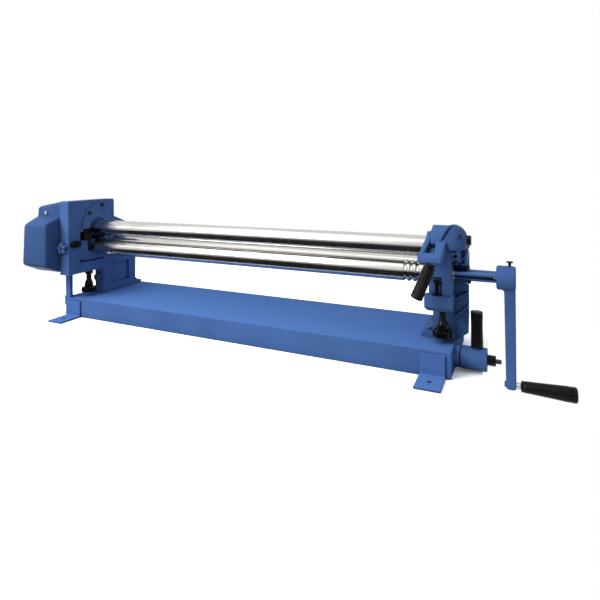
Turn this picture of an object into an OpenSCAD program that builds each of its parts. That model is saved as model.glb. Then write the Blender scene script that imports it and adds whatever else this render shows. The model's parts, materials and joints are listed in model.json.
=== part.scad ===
// Bench slip roll: three steel rolls between two cast housings on a folded base.
// X runs along the rolls (crank at +X), +Y is the rear, +Z is up.
// The origin is the middle of the four foot bolt holes, level with the underside of the feet.

/* [Rolls] */
// Diameter of each roll
roll_d = 60; // [54:1:62]
// Length of each roll body, the forming length
roll_len = 1300; // [600:10:1600]
// Diameter of the roll journals
journal_d = 32; // [28:1:34]
// Vertical opening between the top and the lower roll as photographed
roll_gap = 14; // [8:1:16]
// Height of the top roll's axis above the bench
top_z = 340; // [336:1:350]
// Distance from the front rolls' axis back to the rear roll's axis
rear_y = 82; // [78:1:90]
// Height of the rear roll's axis at its lowest setting
rear_z = 268; // [262:1:272]
// Width of a wire groove in the lower roll
groove_w = 9; // [6:0.5:11]
// Pitch of the wire grooves
groove_pitch = 17; // [15:1:20]
// Number of wire grooves
groove_n = 3; // [1:1:4]

/* [Base] */
// Depth of the base, front to rear
base_d = 326; // [318:2:360]
// Height of the base
base_h = 70; // [68:1:76]
// Thickness of the base's folded sheet
sheet_t = 5; // [3:0.5:6]
// Length of base left of the left housing's inner face
left_end = 89; // [80:1:110]
// Length of base right of the right housing's inner face
right_end = 62; // [56:1:74]
// Distance from the base's front face back to the front rolls' axis
roll_setback = 75; // [70:1:90]

/* [Feet] */
// Width of a foot angle
foot_w = 68; // [50:1:80]
// Thickness of a foot angle
foot_t = 6; // [4:0.5:8]
// Reach of a foot beyond the base
foot_reach = 90; // [70:1:110]
// Height of a foot's upright leaf
foot_up = 62; // [40:1:66]
// Bolt hole diameter in a foot
foot_hole_d = 13; // [10:0.5:15]
// Distance of a foot's bolt hole from the base's side
foot_hole_y = 46; // [30:1:60]
// Distance of a foot's middle from the base's end
foot_inset = 48; // [40:1:80]

/* [Housings] */
// Thickness of the left housing
left_t = 46; // [42:1:50]
// Height of the left housing's flat top
left_top = 450; // [430:1:470]
// Underside of both housings' heads
head_z = 172; // [165:1:178]
// Reach of the left head in front of the rolls' axis
left_reach = 133; // [120:1:150]
// Reach of the right head in front of the rolls' axis
right_reach = 66; // [62:1:70]
// Front face of a column, behind the rolls' axis
column_y0 = 30; // [28:1:36]
// Rear face of a column, behind the rolls' axis
column_y1 = 205; // [190:1:214]
// Width of the left lower bearing block, front to rear
left_block_w = 116; // [100:1:118]
// Width of the right lower bearing block, front to rear
right_block_w = 66; // [60:1:66]

/* [Gear guard] */
// Length of the guard along the rolls
guard_len = 135; // [110:1:150]
// Wall thickness of the guard
guard_t = 4; // [3:0.5:6]
// Reach of the guard's swelling in front of the rolls' axis
guard_reach = 194; // [180:1:210]

/* [Crank and handles] */
// Distance from the crank's axis to its handle
crank_r = 283; // [200:1:300]
// Diameter of the crank shaft
crank_shaft_d = 32; // [26:1:34]
// Distance from the right housing to the crank's hub
crank_gap = 110; // [90:1:140]
// Length of the crank's handle grip
crank_grip_len = 130; // [100:1:150]
// Length of the release lever's grip
release_grip_len = 90; // [70:1:100]
// Diameter of the release and lift lever grips
grip_d = 32; // [26:1:34]
// Length of the lift lever's grip
lift_grip_len = 99; // [80:1:120]
// Diameter of an adjusting knob over its lobes
knob_d = 56; // [44:1:60]

/* [Hidden] */
$fn = 64;
cut = 2;
run = 0.05;
slide_gap = 0.3;
seat = 0.3;

// Rolls and their bearings
roll_r = roll_d/2;
journal_r = journal_d/2;
bush_t = 5;
bush_r = journal_r + bush_t;
end_gap = 1.5;
roll_chamfer = 1.5;
min_gap = 2;
groove_inset = 33;
rear_journal_r = journal_r - bush_t;
rear_bush_t = 3;
rear_bush_r = rear_journal_r + rear_bush_t;
rear_travel = 43;

// Frame places
base_len = roll_len + 2*end_gap + left_end + right_end;
left_in = -base_len/2 + left_end;
right_in = base_len/2 - right_end;
left_out = left_in - left_t;
right_out = base_len/2;
left_x = (left_in + left_out)/2;
right_x = (right_in + right_out)/2;
roll_x0 = left_in + end_gap;
roll_x1 = right_in - end_gap;
base_y0 = -base_d/2;
base_y1 = base_d/2;
roll_y = base_y0 + roll_setback;
low_z = top_z - roll_d - roll_gap;

// Base sheet
base_lip = 16;

// Foot angles
foot_fillet = 5;
foot_x = base_len/2 - foot_inset;
foot_hole_span_y = base_d + 2*foot_hole_y;

// Swivel bearing of the top roll
swivel_r = 26;
swivel_w = 34;
swivel_wall = 6;
swivel_throat = 4;
arch_r = swivel_r + swivel_wall;

// Lower bearing blocks and their windows
travel_down = 4;
travel_up = roll_gap - min_gap;
block_drop = 49;
block_slack = 1;
block_rise = roll_d + min_gap - arch_r - block_slack;
block_z0 = low_z - block_drop;
block_z1 = low_z + block_rise;
window_z0 = block_z0 - travel_down - block_slack;
left_block_y0 = -80;
left_block_y1 = left_block_y0 + left_block_w;
right_block_y0 = -right_block_w/2;
right_block_y1 = right_block_y0 + right_block_w;
block_lip = 4;
block_lip_t = 5;
screw_hold = 12;
window_top_drop = 10;

// Rear bearing blocks, their windows and stems
rear_block_w = 36;
rear_block_h = 40;
rear_slack = 3;
rear_window_z0 = rear_z - rear_block_h/2 - rear_slack;
rear_window_z1 = rear_z + rear_travel + rear_block_h/2 + rear_slack;
stem_r = 8;
stem_clear = 1;

// Adjusting screws and knobs
screw_r = 10;
screw_clear = 0.5;
knob_h = 20;
knob_hub_h = 16;
knob_hub_r = 16;
knob_cone_h = 10;
knob_neck_t = 2;
knob_core_r = 20;
knob_lobe_r = 10;
knob_floor = 4;
knob_base = 87;
knob_lobes = 6;
screw_nut_r = 16;
screw_nut_h = 14;
left_screw_y = left_block_y0 + left_block_w/2;
right_screw_y = right_block_y0 + right_block_w/2;

// Left housing
left_back_top = 87;
left_back_z = 378;
left_slope_y = 144;
left_slope_z = 353;
column_top_z = 322;
throat_r = 14;
pocket_y0 = 74;
pocket_y1 = 168;
pocket_z0 = 102;
pocket_z1 = 183;
pocket_depth = 10;
flange_reach = 34;
flange_h = 14;
lug_z = 274;
lug_r = 19;
lug_reach = 16;
lug_w = 20;
lug_bolt_y = -left_reach - 9;
lug_bolt_out = 10;
head_corner = 8;
plug_y = -104;
plug_z = 286;
plug_w = 45;
plug_r = 12;
plug_t = 8;
plug_socket_r = 5;
plug_socket = 4;
head_boss_r = 14;
head_boss_l = 16;
head_boss_z = 134;
head_boss_hole_r = 4;
head_boss_hole = 8;

// Keeper plate over the swivel bearing
keeper_t = 5;
keeper_w = 92;
keeper_h = 36;
keeper_y = -10;
keeper_up = 74;
keeper_turn = 25;
keeper_bolt = 34;
keeper_bore_r = 40;
keeper_round_r = 58;
keeper_round_y = -14;
keeper_round_up = 14;
keeper_head_r = 8;
keeper_head_h = 4;

// Right housing, saddle and hinge
boss_top = 215;
boss_chamfer = 12;
right_front = 54;
saddle_r = 48;
saddle_over = 18;
hinge_y = 46;
hinge_z = top_z - 2;
hinge_r = 12;
hinge_pin_r = 5.5;
hinge_nut_r = 12;
hinge_nut_l = 14;
hinge_pin_over = 6;
hinge_gap = 0.4;
ear_l = 18;
right_rear_z = 300;
rear_top_t = 9;
rear_top_y = 14;
ear_gap = 1;
ear_step = 0.5;
boss_side = 8;
boss_round = 12;
wing_y0 = 34;
wing_x0 = 756;
wing_x1 = 765;
wing_t = 9;
wing_top = 290;
wing_heel = 35;
wing_rib_z = [134, 184];
wing_rib_t = 8;
wing_rib_d = 12;
wing_rib_rise = 34;
lattice_y = 22;
lattice_z = 304;
lattice_r = 32;
lattice_l = 35;
lattice_slot = [6, 15];
lattice_depth = 24;
lattice_turn = 25;
lattice_pitch = 12;
lattice_split = 2;
shaft_clear = 2;
oil_hole_r = 5;
oil_hole_y = -16;
oil_hole_up = 34;
oil_hole_l = 8;

// Release cap and nose lever
cap_r = 64;
cap_inset = 2;
cap_over = 25;
cap_wall = 5;
cap_split = 0.5;
cap_bevel = 18;
cap_lip = 4;
nose_reach = 133;
nose_top_z = top_z + 26;
nose_tip_z = top_z - 8;
nose_bottom_z = top_z - 24;
nose_root_y = -38;
nose_floor = 7;
nose_over = 13;
nose_side = 12;
nose_toe = 14;
nose_w = 60;
nose_x0 = right_in - nose_over;
nose_x1 = nose_x0 + nose_w;
nose_pocket_y0 = -56;
nose_pocket_y1 = -113;
nose_pocket_tip = 7;
nose_web_x = 24;
nose_web_w = 28;
nose_web_y = -76;
nose_web_up = 12;
knuckle_web = 26;

// Release grip
grip_collar = 9;
grip_collar_r = 12;
grip_rib_n = 12;
grip_rib_depth = 1.2;
grip_end = 6;
release_inset = 36;
release_x = nose_x0 + release_inset;
release_y = -110;
release_z = top_z - 20;
release_side = 22;
release_fore = 9;
release_pin_r = 7;
release_pin_l = 16;
release_in = 8;
release_drop = 20;
release_boss_r = 15;
release_boss_l = 11;

// Gears
gear_n = 10;
gear_w = 22;
gear_gap = 8;
tooth_hold = 2.4;
tilt_drop = 2;
gear_ro = (roll_d + roll_gap)/2 + tooth_hold;
gear_rr = roll_d + min_gap - tilt_drop - gear_ro;
gear_rm = 31;
tooth_tip = 1;
tooth_mid = 2.3;
tooth_root = 3.3;
gear_x1 = left_out - gear_gap;
gear_x0 = gear_x1 - gear_w;
gear_nut_w = 10;
gear_nut_r = 24;

// Gear guard
guard_x0 = left_out - guard_len;
guard_top = left_top;
guard_back = left_back_top;
guard_low = 182;
guard_swell_z0 = 205;
guard_swell_z1 = 375;
guard_neck_z = 392;
guard_corner = 18;
guard_arc = 6;
guard_low_turn = 62;
guard_high_turn = 68;
guard_screw_r = 4;
guard_head_r = 7;
guard_head_h = 5;
bracket_w = 20;
bracket_screw_x = left_out - 72;
bracket_screw_z = guard_neck_z + 14;

// Guard strap
strap_w = 24;
strap_d = 13;
strap_drop = 30;
strap_t = 6;
strap_ear = 10;
strap_bolt_y = -roll_setback + 12;
strap_bolt_z = base_h - 10;

// Lift shaft, rockers and lever
lift_y = 8;
lift_z = 36;
lift_r = 11;
rocker_r = rear_y - lift_y;
rocker_half = 17;
rocker_tip_r = 6;
rocker_w = 14;
rocker_hub_r = 17;
rocker_root = 10;
rocker_neck = 3.5;
stem_gap = 0.3;
stem_z0 = lift_z - rocker_r*sin(rocker_half) + rocker_tip_r + stem_gap;
lift_boss_r = 29;
lift_boss_l = 15;
lift_gap = 3;
lift_x0 = right_out + lift_boss_l + lift_gap;
lift_hub_r = 31;
lift_hub_l = 67;
lift_x1 = lift_x0 + lift_hub_l;
lift_collar_r = 11;
lift_over = 3;
lift_grip_x = 44;
lift_grip_at = right_out + lift_boss_l + lift_grip_x;
lift_grip_neck = 1;
lift_stem_r = 7;
lift_nut_r = 15;
lift_nut_l = 22;
lift_stud_l = 14;
lift_stud_r = 6;

// Crank
crank_shaft_r = crank_shaft_d/2;
crank_spigot_r = 11;
crank_spigot_l = 70;
crank_collar = 4;
crank_hub_r = 32;
crank_hub_l = 48;
crank_x0 = right_out + crank_gap;
crank_x1 = crank_x0 + crank_hub_l;
arm_inset = 1;
arm_w = 28;
arm_tip_w = 25;
arm_d = 20;
arm_tail = 12;
handle_pin_r = 6;
handle_gap = 10;
handle_x0 = crank_x1 + handle_gap;
handle_x1 = handle_x0 + crank_grip_len;
handle_end = 10;
handle_shoulder_r = 9;
handle_r0 = 14.5;
handle_r1 = 19.5;
handle_round = 5;
thumb_r = 4;
thumb_up = 13;
thumb_x = crank_x0 + 33;
thumb_head_r = 9;
thumb_head_h = 4;
thumb_depth = 12;
set_screw_x = 42;
set_screw_r = 4;
set_screw_l = 6;

// Lock screw on the right boss
lock_r = 5;
lock_up = 40;
lock_head_r = 11;
lock_head_h = 5;
lock_washer_r = 13;
lock_washer_t = 3;
lock_recess = 1;
lock_over = 10;
lock_depth = 30;
lock_y = -right_front + 2;
lock_inset = 24;
lock_x = right_in + lock_inset;

// Fasteners
bolt_r = 6;
bolt_head_r = 10;
bolt_head_h = 7;
bolt_len = 24;

function arc(cy, cz, r, a0, a1, n) =
    [for (i = [0:n]) let (a = a0 + (a1 - a0)*i/n) [cy + r*cos(a), cz + r*sin(a)]];

// Carries a Y-Z outline along X, from x0 to x1
module along_x(x0, x1) {
    translate([x0, 0, 0]) rotate([90, 0, 90]) linear_extrude(x1 - x0) children();
}

// Carries an X-Z outline along Y, counted from the front rolls' axis
module along_y(y0, y1) {
    translate([0, roll_y + y1, 0]) rotate([90, 0, 0]) linear_extrude(y1 - y0) children();
}

// Carries a Y-Z outline along X, for an outline drawn from the front rolls' axis
module at_rolls(x0, x1) {
    translate([0, roll_y, 0]) along_x(x0, x1) children();
}

module rod_x(r, x0, x1, y, z) {
    translate([x0, roll_y + y, z]) rotate([0, 90, 0]) cylinder(r = r, h = x1 - x0);
}

module rod_z(r, z0, z1, x, y) {
    translate([x, roll_y + y, z0]) cylinder(r = r, h = z1 - z0);
}

module hex_x(r, x0, x1, y, z) {
    translate([x0, roll_y + y, z]) rotate([0, 90, 0]) cylinder(r = r, h = x1 - x0, $fn = 6);
}

module rod_y(r, y0, y1, x, z) {
    translate([x, roll_y + y0, z]) rotate([-90, 0, 0]) cylinder(r = r, h = y1 - y0);
}

// A hexagon bolt, head upward, its head seated at z
module bolt_down(x, y, z, reach) {
    rod_z(bolt_r, z - reach, z, x, y);
    translate([x, roll_y + y, z]) cylinder(r = bolt_head_r, h = bolt_head_h, $fn = 6);
}

module base_channel() {
    color("royalblue") difference() {
        along_x(-base_len/2 + sheet_t, base_len/2 - sheet_t)
            polygon([[base_y0, 0], [base_y0, base_h], [base_y1, base_h], [base_y1, 0],
                [base_y1 - base_lip, 0], [base_y1 - base_lip, sheet_t], [base_y1 - sheet_t, sheet_t],
                [base_y1 - sheet_t, base_h - sheet_t], [base_y0 + sheet_t, base_h - sheet_t],
                [base_y0 + sheet_t, sheet_t], [base_y0 + base_lip, sheet_t], [base_y0 + base_lip, 0]]);
        for (x = [left_x, right_x])
            rod_z(stem_r + stem_clear, base_h - sheet_t - cut, base_h + cut, x, rear_y);
        for (p = housing_bolt_places())
            rod_z(bolt_r + run, base_h - sheet_t - cut, base_h + cut, p[0], p[1]);
    }
}

module end_plate(x0) {
    difference() {
        along_x(x0, x0 + sheet_t)
            translate([base_y0, 0]) square([base_d, base_h]);
        rod_x(lift_r + run, x0 - cut, x0 + sheet_t + cut, lift_y, lift_z);
    }
}

module left_end_plate() {
    color("royalblue") difference() {
        end_plate(-base_len/2);
        rod_x(guard_screw_r + run, -base_len/2 - cut, -base_len/2 + sheet_t + cut, strap_bolt_y,
            strap_bolt_z);
    }
}

// The right end plate carries the boss that the lift shaft turns in
module right_end_plate() {
    color("royalblue") {
        end_plate(base_len/2 - sheet_t);
        difference() {
            rod_x(lift_boss_r, base_len/2, base_len/2 + lift_boss_l, lift_y, lift_z);
            rod_x(lift_r + run, base_len/2 - cut, base_len/2 + lift_boss_l + cut, lift_y, lift_z);
        }
    }
}

module foot_angle() {
    difference() {
        along_x(-foot_w/2, foot_w/2)
            polygon(concat([[0, 0], [-foot_reach, 0], [-foot_reach, foot_t]],
                arc(-foot_t - foot_fillet, foot_t + foot_fillet, foot_fillet, 270, 360, 6),
                [[-foot_t, foot_up], [0, foot_up]]));
        translate([0, -foot_hole_y, -cut]) cylinder(d = foot_hole_d, h = foot_t + 2*cut);
    }
}

module foot_angles() {
    color("royalblue") for (x = [-foot_x, foot_x]) {
        translate([x, base_y0, 0]) foot_angle();
        translate([x, base_y1, 0]) mirror([0, 1, 0]) foot_angle();
    }
}

// Places of the bolts that hold the housings down, from the front rolls' axis
function housing_bolt_places() = [
    [left_x, column_y1 + flange_reach/2],
    [left_out - flange_reach/2, column_y0 + flange_reach],
    [left_out - flange_reach/2, column_y1 - flange_reach],
    [right_x, column_y1 + flange_reach/2],
    [right_in - flange_reach/2, column_y0 + flange_reach],
    [right_in - flange_reach/2, column_y1 - flange_reach]];

module housing_bolts() {
    color("dimgray") for (p = housing_bolt_places())
        bolt_down(p[0], p[1], base_h + flange_h, bolt_len);
}

// Flanges of a housing's foot, on its rear and on one side
module foot_flanges(x0, x1, side_x0, side_x1) {
    difference() {
        translate([0, roll_y, base_h]) {
            translate([x0, column_y1, 0]) cube([x1 - x0, flange_reach, flange_h]);
            translate([side_x0, column_y0, 0]) cube([side_x1 - side_x0, column_y1 - column_y0, flange_h]);
        }
        for (p = housing_bolt_places())
            rod_z(bolt_r + run, base_h - cut, base_h + flange_h + cut, p[0], p[1]);
    }
}

// Outline of the window that a lower bearing block slides in
module lower_window(y0, w) {
    difference() {
        translate([y0 - slide_gap, window_z0]) square([w + 2*slide_gap,
            top_z - window_top_drop - window_z0]);
        translate([0, top_z]) circle(r = arch_r);
    }
}

module rear_window() {
    translate([rear_y - rear_block_w/2 - slide_gap, rear_window_z0])
        square([rear_block_w + 2*slide_gap, rear_window_z1 - rear_window_z0]);
}

module left_housing() {
    color("royalblue") {
        difference() {
            union() {
                at_rolls(left_out, left_in) difference() {
                    polygon(concat([[column_y1, base_h], [column_y1, column_top_z],
                        [left_slope_y, left_slope_z], [left_back_top, left_back_z]],
                        arc(left_back_top - head_corner, left_top - head_corner, head_corner, 0, 90, 5),
                        arc(-left_reach + head_corner, left_top - head_corner, head_corner, 90, 180, 5),
                        [[-left_reach, head_z]],
                        arc(column_y0 - throat_r, head_z - throat_r, throat_r, 90, 0, 8),
                        [[column_y0, base_h]]));
                    lower_window(left_block_y0, left_block_w);
                    rear_window();
                }
                // ear that the gear guard's front is bolted to
                at_rolls(left_out, left_out + lug_w) {
                    translate([-left_reach - lug_reach + lug_r, lug_z]) circle(r = lug_r);
                }
                rod_y(head_boss_r, column_y0 - head_boss_l, column_y0 + cut, left_x, head_boss_z);
            }
            rod_y(head_boss_hole_r, column_y0 - head_boss_l - cut,
                column_y0 - head_boss_l + head_boss_hole, left_x, head_boss_z);
            rod_x(journal_r + swivel_throat, left_out - cut, left_in + cut, 0, top_z);
            translate([left_x, roll_y, top_z]) rotate([0, 90, 0]) sphere(r = swivel_r + run);
            rod_z(screw_r + run, head_z - cut, window_z0 + cut, left_x, left_screw_y);
            rod_z(stem_r + run, base_h - cut, rear_window_z0 + cut, left_x, rear_y);
            translate([left_in - pocket_depth, roll_y + pocket_y0, pocket_z0])
                cube([pocket_depth + cut, pocket_y1 - pocket_y0, pocket_z1 - pocket_z0]);
            rod_x(guard_screw_r + run, left_out - cut, left_out + lug_w + cut, lug_bolt_y, lug_z);
            for (s = [-1, 1])
                rod_x(bolt_r + run, left_in - bolt_len, left_in + cut, keeper_place(s)[0],
                    keeper_place(s)[1]);
        }
        foot_flanges(left_out, left_in, left_out - flange_reach, left_out);
    }
}

// Outline of the right housing below the top roll's axis
module right_profile() {
    difference() {
        polygon(concat([[column_y1, base_h], [column_y1, right_rear_z],
            [rear_y + rear_block_w/2 + rear_top_y, rear_window_z1 + rear_top_t],
            [hinge_y + hinge_r + ear_gap, rear_window_z1 + rear_top_t],
            [hinge_y + hinge_r + ear_gap, top_z - arch_r], [hinge_y - hinge_r, top_z - arch_r],
            [hinge_y - hinge_r, top_z], [-saddle_r - ear_gap, top_z],
            [-right_front, top_z - saddle_r],
            [-right_front, boss_top], [-right_reach, boss_top],
            [-right_reach, head_z + boss_chamfer], [-right_reach + boss_chamfer, head_z]],
            arc(column_y0 - throat_r, head_z - throat_r, throat_r, 90, 0, 8),
            [[column_y0, base_h]]));
        lower_window(right_block_y0, right_block_w);
        rear_window();
    }
}

module right_housing() {
    x_end = right_out + saddle_over;
    color("royalblue") {
        difference() {
            union() {
                at_rolls(right_in, right_out) right_profile();
                // saddle of the top roll, its lower half only
                at_rolls(right_in, x_end) difference() {
                    translate([0, top_z]) circle(r = saddle_r);
                    translate([-saddle_r - cut, top_z]) square([2*saddle_r + 2*cut, saddle_r + cut]);
                    translate([-saddle_r - cut, top_z - saddle_r - cut])
                        square([2*saddle_r + 2*cut, saddle_r - arch_r + cut]);
                }
                for (e = [[right_in, ear_l], [x_end - ear_l, ear_l]]) {
                    rod_x(hinge_r, e[0], e[0] + e[1], hinge_y, hinge_z);
                    at_rolls(e[0], e[0] + e[1])
                        polygon([[hinge_y - hinge_r + ear_step, top_z - arch_r - cut],
                            [hinge_y + hinge_r + ear_gap + cut, top_z - arch_r - cut],
                            [hinge_y + hinge_r + ear_gap + cut, hinge_z],
                            [hinge_y - hinge_r + ear_step, hinge_z]]);
                }
                // boss of the lock screw, wider than the housing
                at_rolls(right_in - boss_side, right_in + cut) polygon([[-right_reach, boss_top],
                    [-right_reach, head_z + boss_chamfer], [-right_reach + boss_chamfer, head_z],
                    [-right_block_w/2, head_z], [-right_block_w/2, boss_top]]);
                lattice_boss();
                wing();
            }
            // rounded lower corner of the boss
            along_y(-right_reach - cut, -right_block_w/2 + cut) polygon(concat(
                [[right_in - boss_side - cut, head_z + boss_round], [right_in - boss_side - cut, head_z - cut],
                [right_in - boss_side + boss_round, head_z - cut]],
                arc(right_in - boss_side + boss_round, head_z + boss_round, boss_round, 270, 180, 6)));
            rod_x(bush_r + run, right_in - cut, x_end + cut, 0, top_z);
            rod_x(hinge_pin_r + run, right_in - cut, x_end + cut, hinge_y, hinge_z);
            rod_x(hinge_r + hinge_gap, right_in + ear_l, x_end - ear_l, hinge_y, hinge_z);
            rod_z(screw_r + run, head_z - cut, window_z0 + cut, right_x, right_screw_y);
            rod_z(stem_r + run, base_h - cut, rear_window_z0 + cut, right_x, rear_y);
            rod_z(lock_r + run, boss_top - lock_depth, boss_top + cut, lock_x, lock_y);
            // recess round the lock screw, open to the left
            rod_z(lock_washer_r + lock_recess, boss_top, boss_top + lock_up + lock_over, lock_x, lock_y);
            translate([right_in - cut, roll_y - right_front - cut, boss_top])
                cube([lock_x - right_in + cut, lock_washer_r + lock_recess + lock_y + right_front + cut,
                lock_up + lock_over]);
        }
        foot_flanges(right_in, right_out, right_in - flange_reach, right_in);
    }
}

// Open-backed wing that widens the right column, with two slanting ribs on its front
module wing() {
    difference() {
        union() {
            translate([0, roll_y, base_h]) linear_extrude(wing_top - base_h)
                polygon([[right_out, wing_y0], [wing_x0, wing_y0], [wing_x1, column_y1],
                    [right_out, column_y1]]);
            for (z = wing_rib_z) along_y(wing_y0 - wing_rib_d, wing_y0 + cut)
                polygon([[right_out, z], [wing_x0, z + wing_rib_rise],
                    [wing_x0, z + wing_rib_rise + wing_rib_t], [right_out, z + wing_rib_t]]);
        }
        translate([0, roll_y, base_h - cut]) linear_extrude(wing_top - wing_t - base_h + cut)
            polygon([[right_out, wing_y0 + wing_t], [wing_x0 - wing_t, wing_y0 + wing_t],
                [wing_x1 - wing_t, column_y1 + cut], [right_out, column_y1 + cut]]);
        along_y(wing_y0 - wing_rib_d - cut, column_y1 + cut)
            polygon([[right_out, base_h - cut], [wing_x1 + cut, base_h - cut],
                [wing_x1 + cut, base_h + wing_heel], [right_out, base_h]]);
        along_y(wing_y0 - cut, column_y1 + cut)
            polygon([[wing_x0 + cut, wing_top - wing_heel], [wing_x1 + cut, wing_top - wing_heel],
                [wing_x1 + cut, wing_top + cut], [wing_x0 - wing_heel/2, wing_top + cut]]);
    }
}

// Round boss with a lattice of slanting slots, outboard of the saddle
module lattice_boss() {
    difference() {
        at_rolls(right_out, right_out + lattice_l) difference() {
            translate([lattice_y, lattice_z]) circle(r = lattice_r);
            translate([lattice_y - lattice_r - cut, top_z - lattice_split])
                square([2*lattice_r + 2*cut, lattice_r]);
            for (z = [low_z - travel_down, low_z + travel_up])
                translate([0, z]) circle(r = crank_shaft_r + shaft_clear);
        }
        at_rolls(right_out - cut, right_out + slide_gap) lower_window(right_block_y0, right_block_w);
        rod_x(hinge_nut_r + shaft_clear, right_out + saddle_over, right_out + lattice_l + cut,
            hinge_y, hinge_z);
        // slots from the front, in rows that lean either way
        for (k = [0:2]) translate([right_out + lattice_pitch/2 + k*lattice_pitch, roll_y, lattice_z])
            for (s = [-1, 1]) translate([0, lattice_y - lattice_r - cut, s*lattice_slot[1]*3/4])
                rotate([0, s*lattice_turn, 0])
                translate([-lattice_slot[0]/2, 0, -lattice_slot[1]/2])
                cube([lattice_slot[0], lattice_depth, lattice_slot[1]]);
    }
}

module bearing_block(x0, x1, y0, w) {
    difference() {
        at_rolls(x0, x1) translate([y0, block_z0]) square([w, block_z1 - block_z0]);
        rod_x(bush_r, x0 - cut, x1 + cut, 0, low_z);
        rod_z(screw_r + run, block_z0 - cut, block_z0 + screw_hold + slide_gap, (x0 + x1)/2, y0 + w/2);
    }
}

module left_lower_block() {
    color("steelblue") bearing_block(left_out, left_in, left_block_y0, left_block_w);
}

module right_lower_block() {
    color("steelblue") bearing_block(right_in, right_out, right_block_y0, right_block_w);
}

module bush(r_out, r_in, x0, x1, y, z) {
    difference() {
        rod_x(r_out, x0, x1, y, z);
        rod_x(r_in + run, x0 - cut, x1 + cut, y, z);
    }
}

module lower_bushes() {
    color("goldenrod") {
        bush(bush_r, journal_r, left_out, left_in, 0, low_z);
        bush(bush_r, journal_r, right_in, right_out, 0, low_z);
    }
}

module swivel_bush() {
    color("goldenrod") difference() {
        intersection() {
            translate([left_x, roll_y, top_z]) rotate([0, 90, 0]) sphere(r = swivel_r);
            rod_x(swivel_r, left_x - swivel_w/2, left_x + swivel_w/2, 0, top_z);
        }
        rod_x(journal_r + run, left_out, left_in, 0, top_z);
    }
}

module top_right_bush() {
    color("goldenrod") bush(bush_r, journal_r, right_in + end_gap, right_out + saddle_over, 0, top_z);
}

module roll_body(y, z) {
    translate([0, roll_y + y, z]) rotate([0, 90, 0]) rotate_extrude()
        polygon([[0, roll_x0], [roll_r - roll_chamfer, roll_x0], [roll_r, roll_x0 + roll_chamfer],
            [roll_r, roll_x1 - roll_chamfer], [roll_r - roll_chamfer, roll_x1], [0, roll_x1]]);
}

module top_roll() {
    color("silver") {
        roll_body(0, top_z);
        rod_x(journal_r, gear_x0 - gear_nut_w, roll_x0, 0, top_z);
        rod_x(journal_r, roll_x1, right_out + saddle_over, 0, top_z);
    }
}

module lower_roll() {
    color("silver") difference() {
        union() {
            roll_body(0, low_z);
            rod_x(journal_r, gear_x0 - gear_nut_w, roll_x0, 0, low_z);
            rod_x(journal_r, roll_x1, right_out + crank_collar, 0, low_z);
            rod_x(crank_spigot_r, right_out, right_out + crank_collar + crank_spigot_l, 0, low_z);
        }
        for (i = [0:groove_n - 1])
            translate([roll_x1 - groove_inset - i*groove_pitch, roll_y, low_z]) rotate([0, 90, 0])
                rotate_extrude() translate([roll_r, 0]) circle(d = groove_w, $fn = 24);
    }
}

module rear_roll() {
    color("silver") {
        roll_body(rear_y, rear_z);
        rod_x(rear_journal_r, left_out + seat + end_gap, roll_x0, rear_y, rear_z);
        rod_x(rear_journal_r, roll_x1, right_out - end_gap, rear_y, rear_z);
    }
}

module rear_block(x0, x1) {
    difference() {
        at_rolls(x0, x1) translate([rear_y - rear_block_w/2, rear_z - rear_block_h/2])
            square([rear_block_w, rear_block_h]);
        rod_x(rear_bush_r, x0 - cut, x1 + cut, rear_y, rear_z);
    }
}

module rear_blocks() {
    color("steelblue") {
        rear_block(left_out + end_gap, left_in);
        rear_block(right_in, right_out);
    }
}

module rear_bushes() {
    color("goldenrod") {
        bush(rear_bush_r, rear_journal_r, left_out + end_gap, left_in, rear_y, rear_z);
        bush(rear_bush_r, rear_journal_r, right_in, right_out, rear_y, rear_z);
    }
}

module lift_stems() {
    color("gray") for (x = [left_x, right_x])
        rod_z(stem_r, stem_z0, rear_z - rear_block_h/2, x, rear_y);
}

// A gear blank with long pointed teeth, which stay in mesh while the rolls open
function gear_points(turn) = [for (k = [0:gear_n - 1])
    for (p = [[gear_rr, -tooth_root], [gear_rm, -tooth_mid], [gear_ro, -tooth_tip],
              [gear_ro, tooth_tip], [gear_rm, tooth_mid], [gear_rr, tooth_root]])
        let (a = turn + 360*k/gear_n, l = sqrt(p[0]*p[0] - p[1]*p[1]))
            [l*cos(a) - p[1]*sin(a), l*sin(a) + p[1]*cos(a)]];

module roll_gear(z, turn) {
    difference() {
        at_rolls(gear_x0, gear_x1) translate([0, z]) polygon(gear_points(turn));
        rod_x(journal_r, gear_x0 - cut, gear_x1 + cut, 0, z);
    }
}

module top_gear() {
    color("dimgray") roll_gear(top_z, -90);
}

module lower_gear() {
    color("dimgray") roll_gear(low_z, 90 + 180/gear_n);
}

module ring_nut(z) {
    difference() {
        hex_x(gear_nut_r, gear_x0 - gear_nut_w, gear_x0, 0, z);
        rod_x(journal_r, gear_x0 - gear_nut_w - cut, gear_x0 + cut, 0, z);
    }
}

module top_gear_nut() {
    color("gray") ring_nut(top_z);
}

module lower_gear_nut() {
    color("gray") ring_nut(low_z);
}

// Outline of the gear guard, moved inward by t
function guard_points(t) = concat(
    arc(-guard_reach + guard_corner, guard_swell_z0 + guard_corner, guard_corner - t,
        180 + guard_low_turn, 180, guard_arc),
    arc(-guard_reach + guard_corner, guard_swell_z1 - guard_corner, guard_corner - t,
        180, 180 - guard_high_turn, guard_arc),
    [[-left_reach + t, guard_neck_z - t]],
    arc(-left_reach + guard_corner, guard_top - guard_corner, guard_corner - t, 180, 90, guard_arc),
    arc(guard_back - guard_corner, guard_top - guard_corner, guard_corner - t, 90, 0, guard_arc),
    arc(guard_back - guard_corner, guard_low + guard_corner, guard_corner - t, 0, -90, guard_arc),
    [[-left_reach + t, guard_low + t]]);

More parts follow.
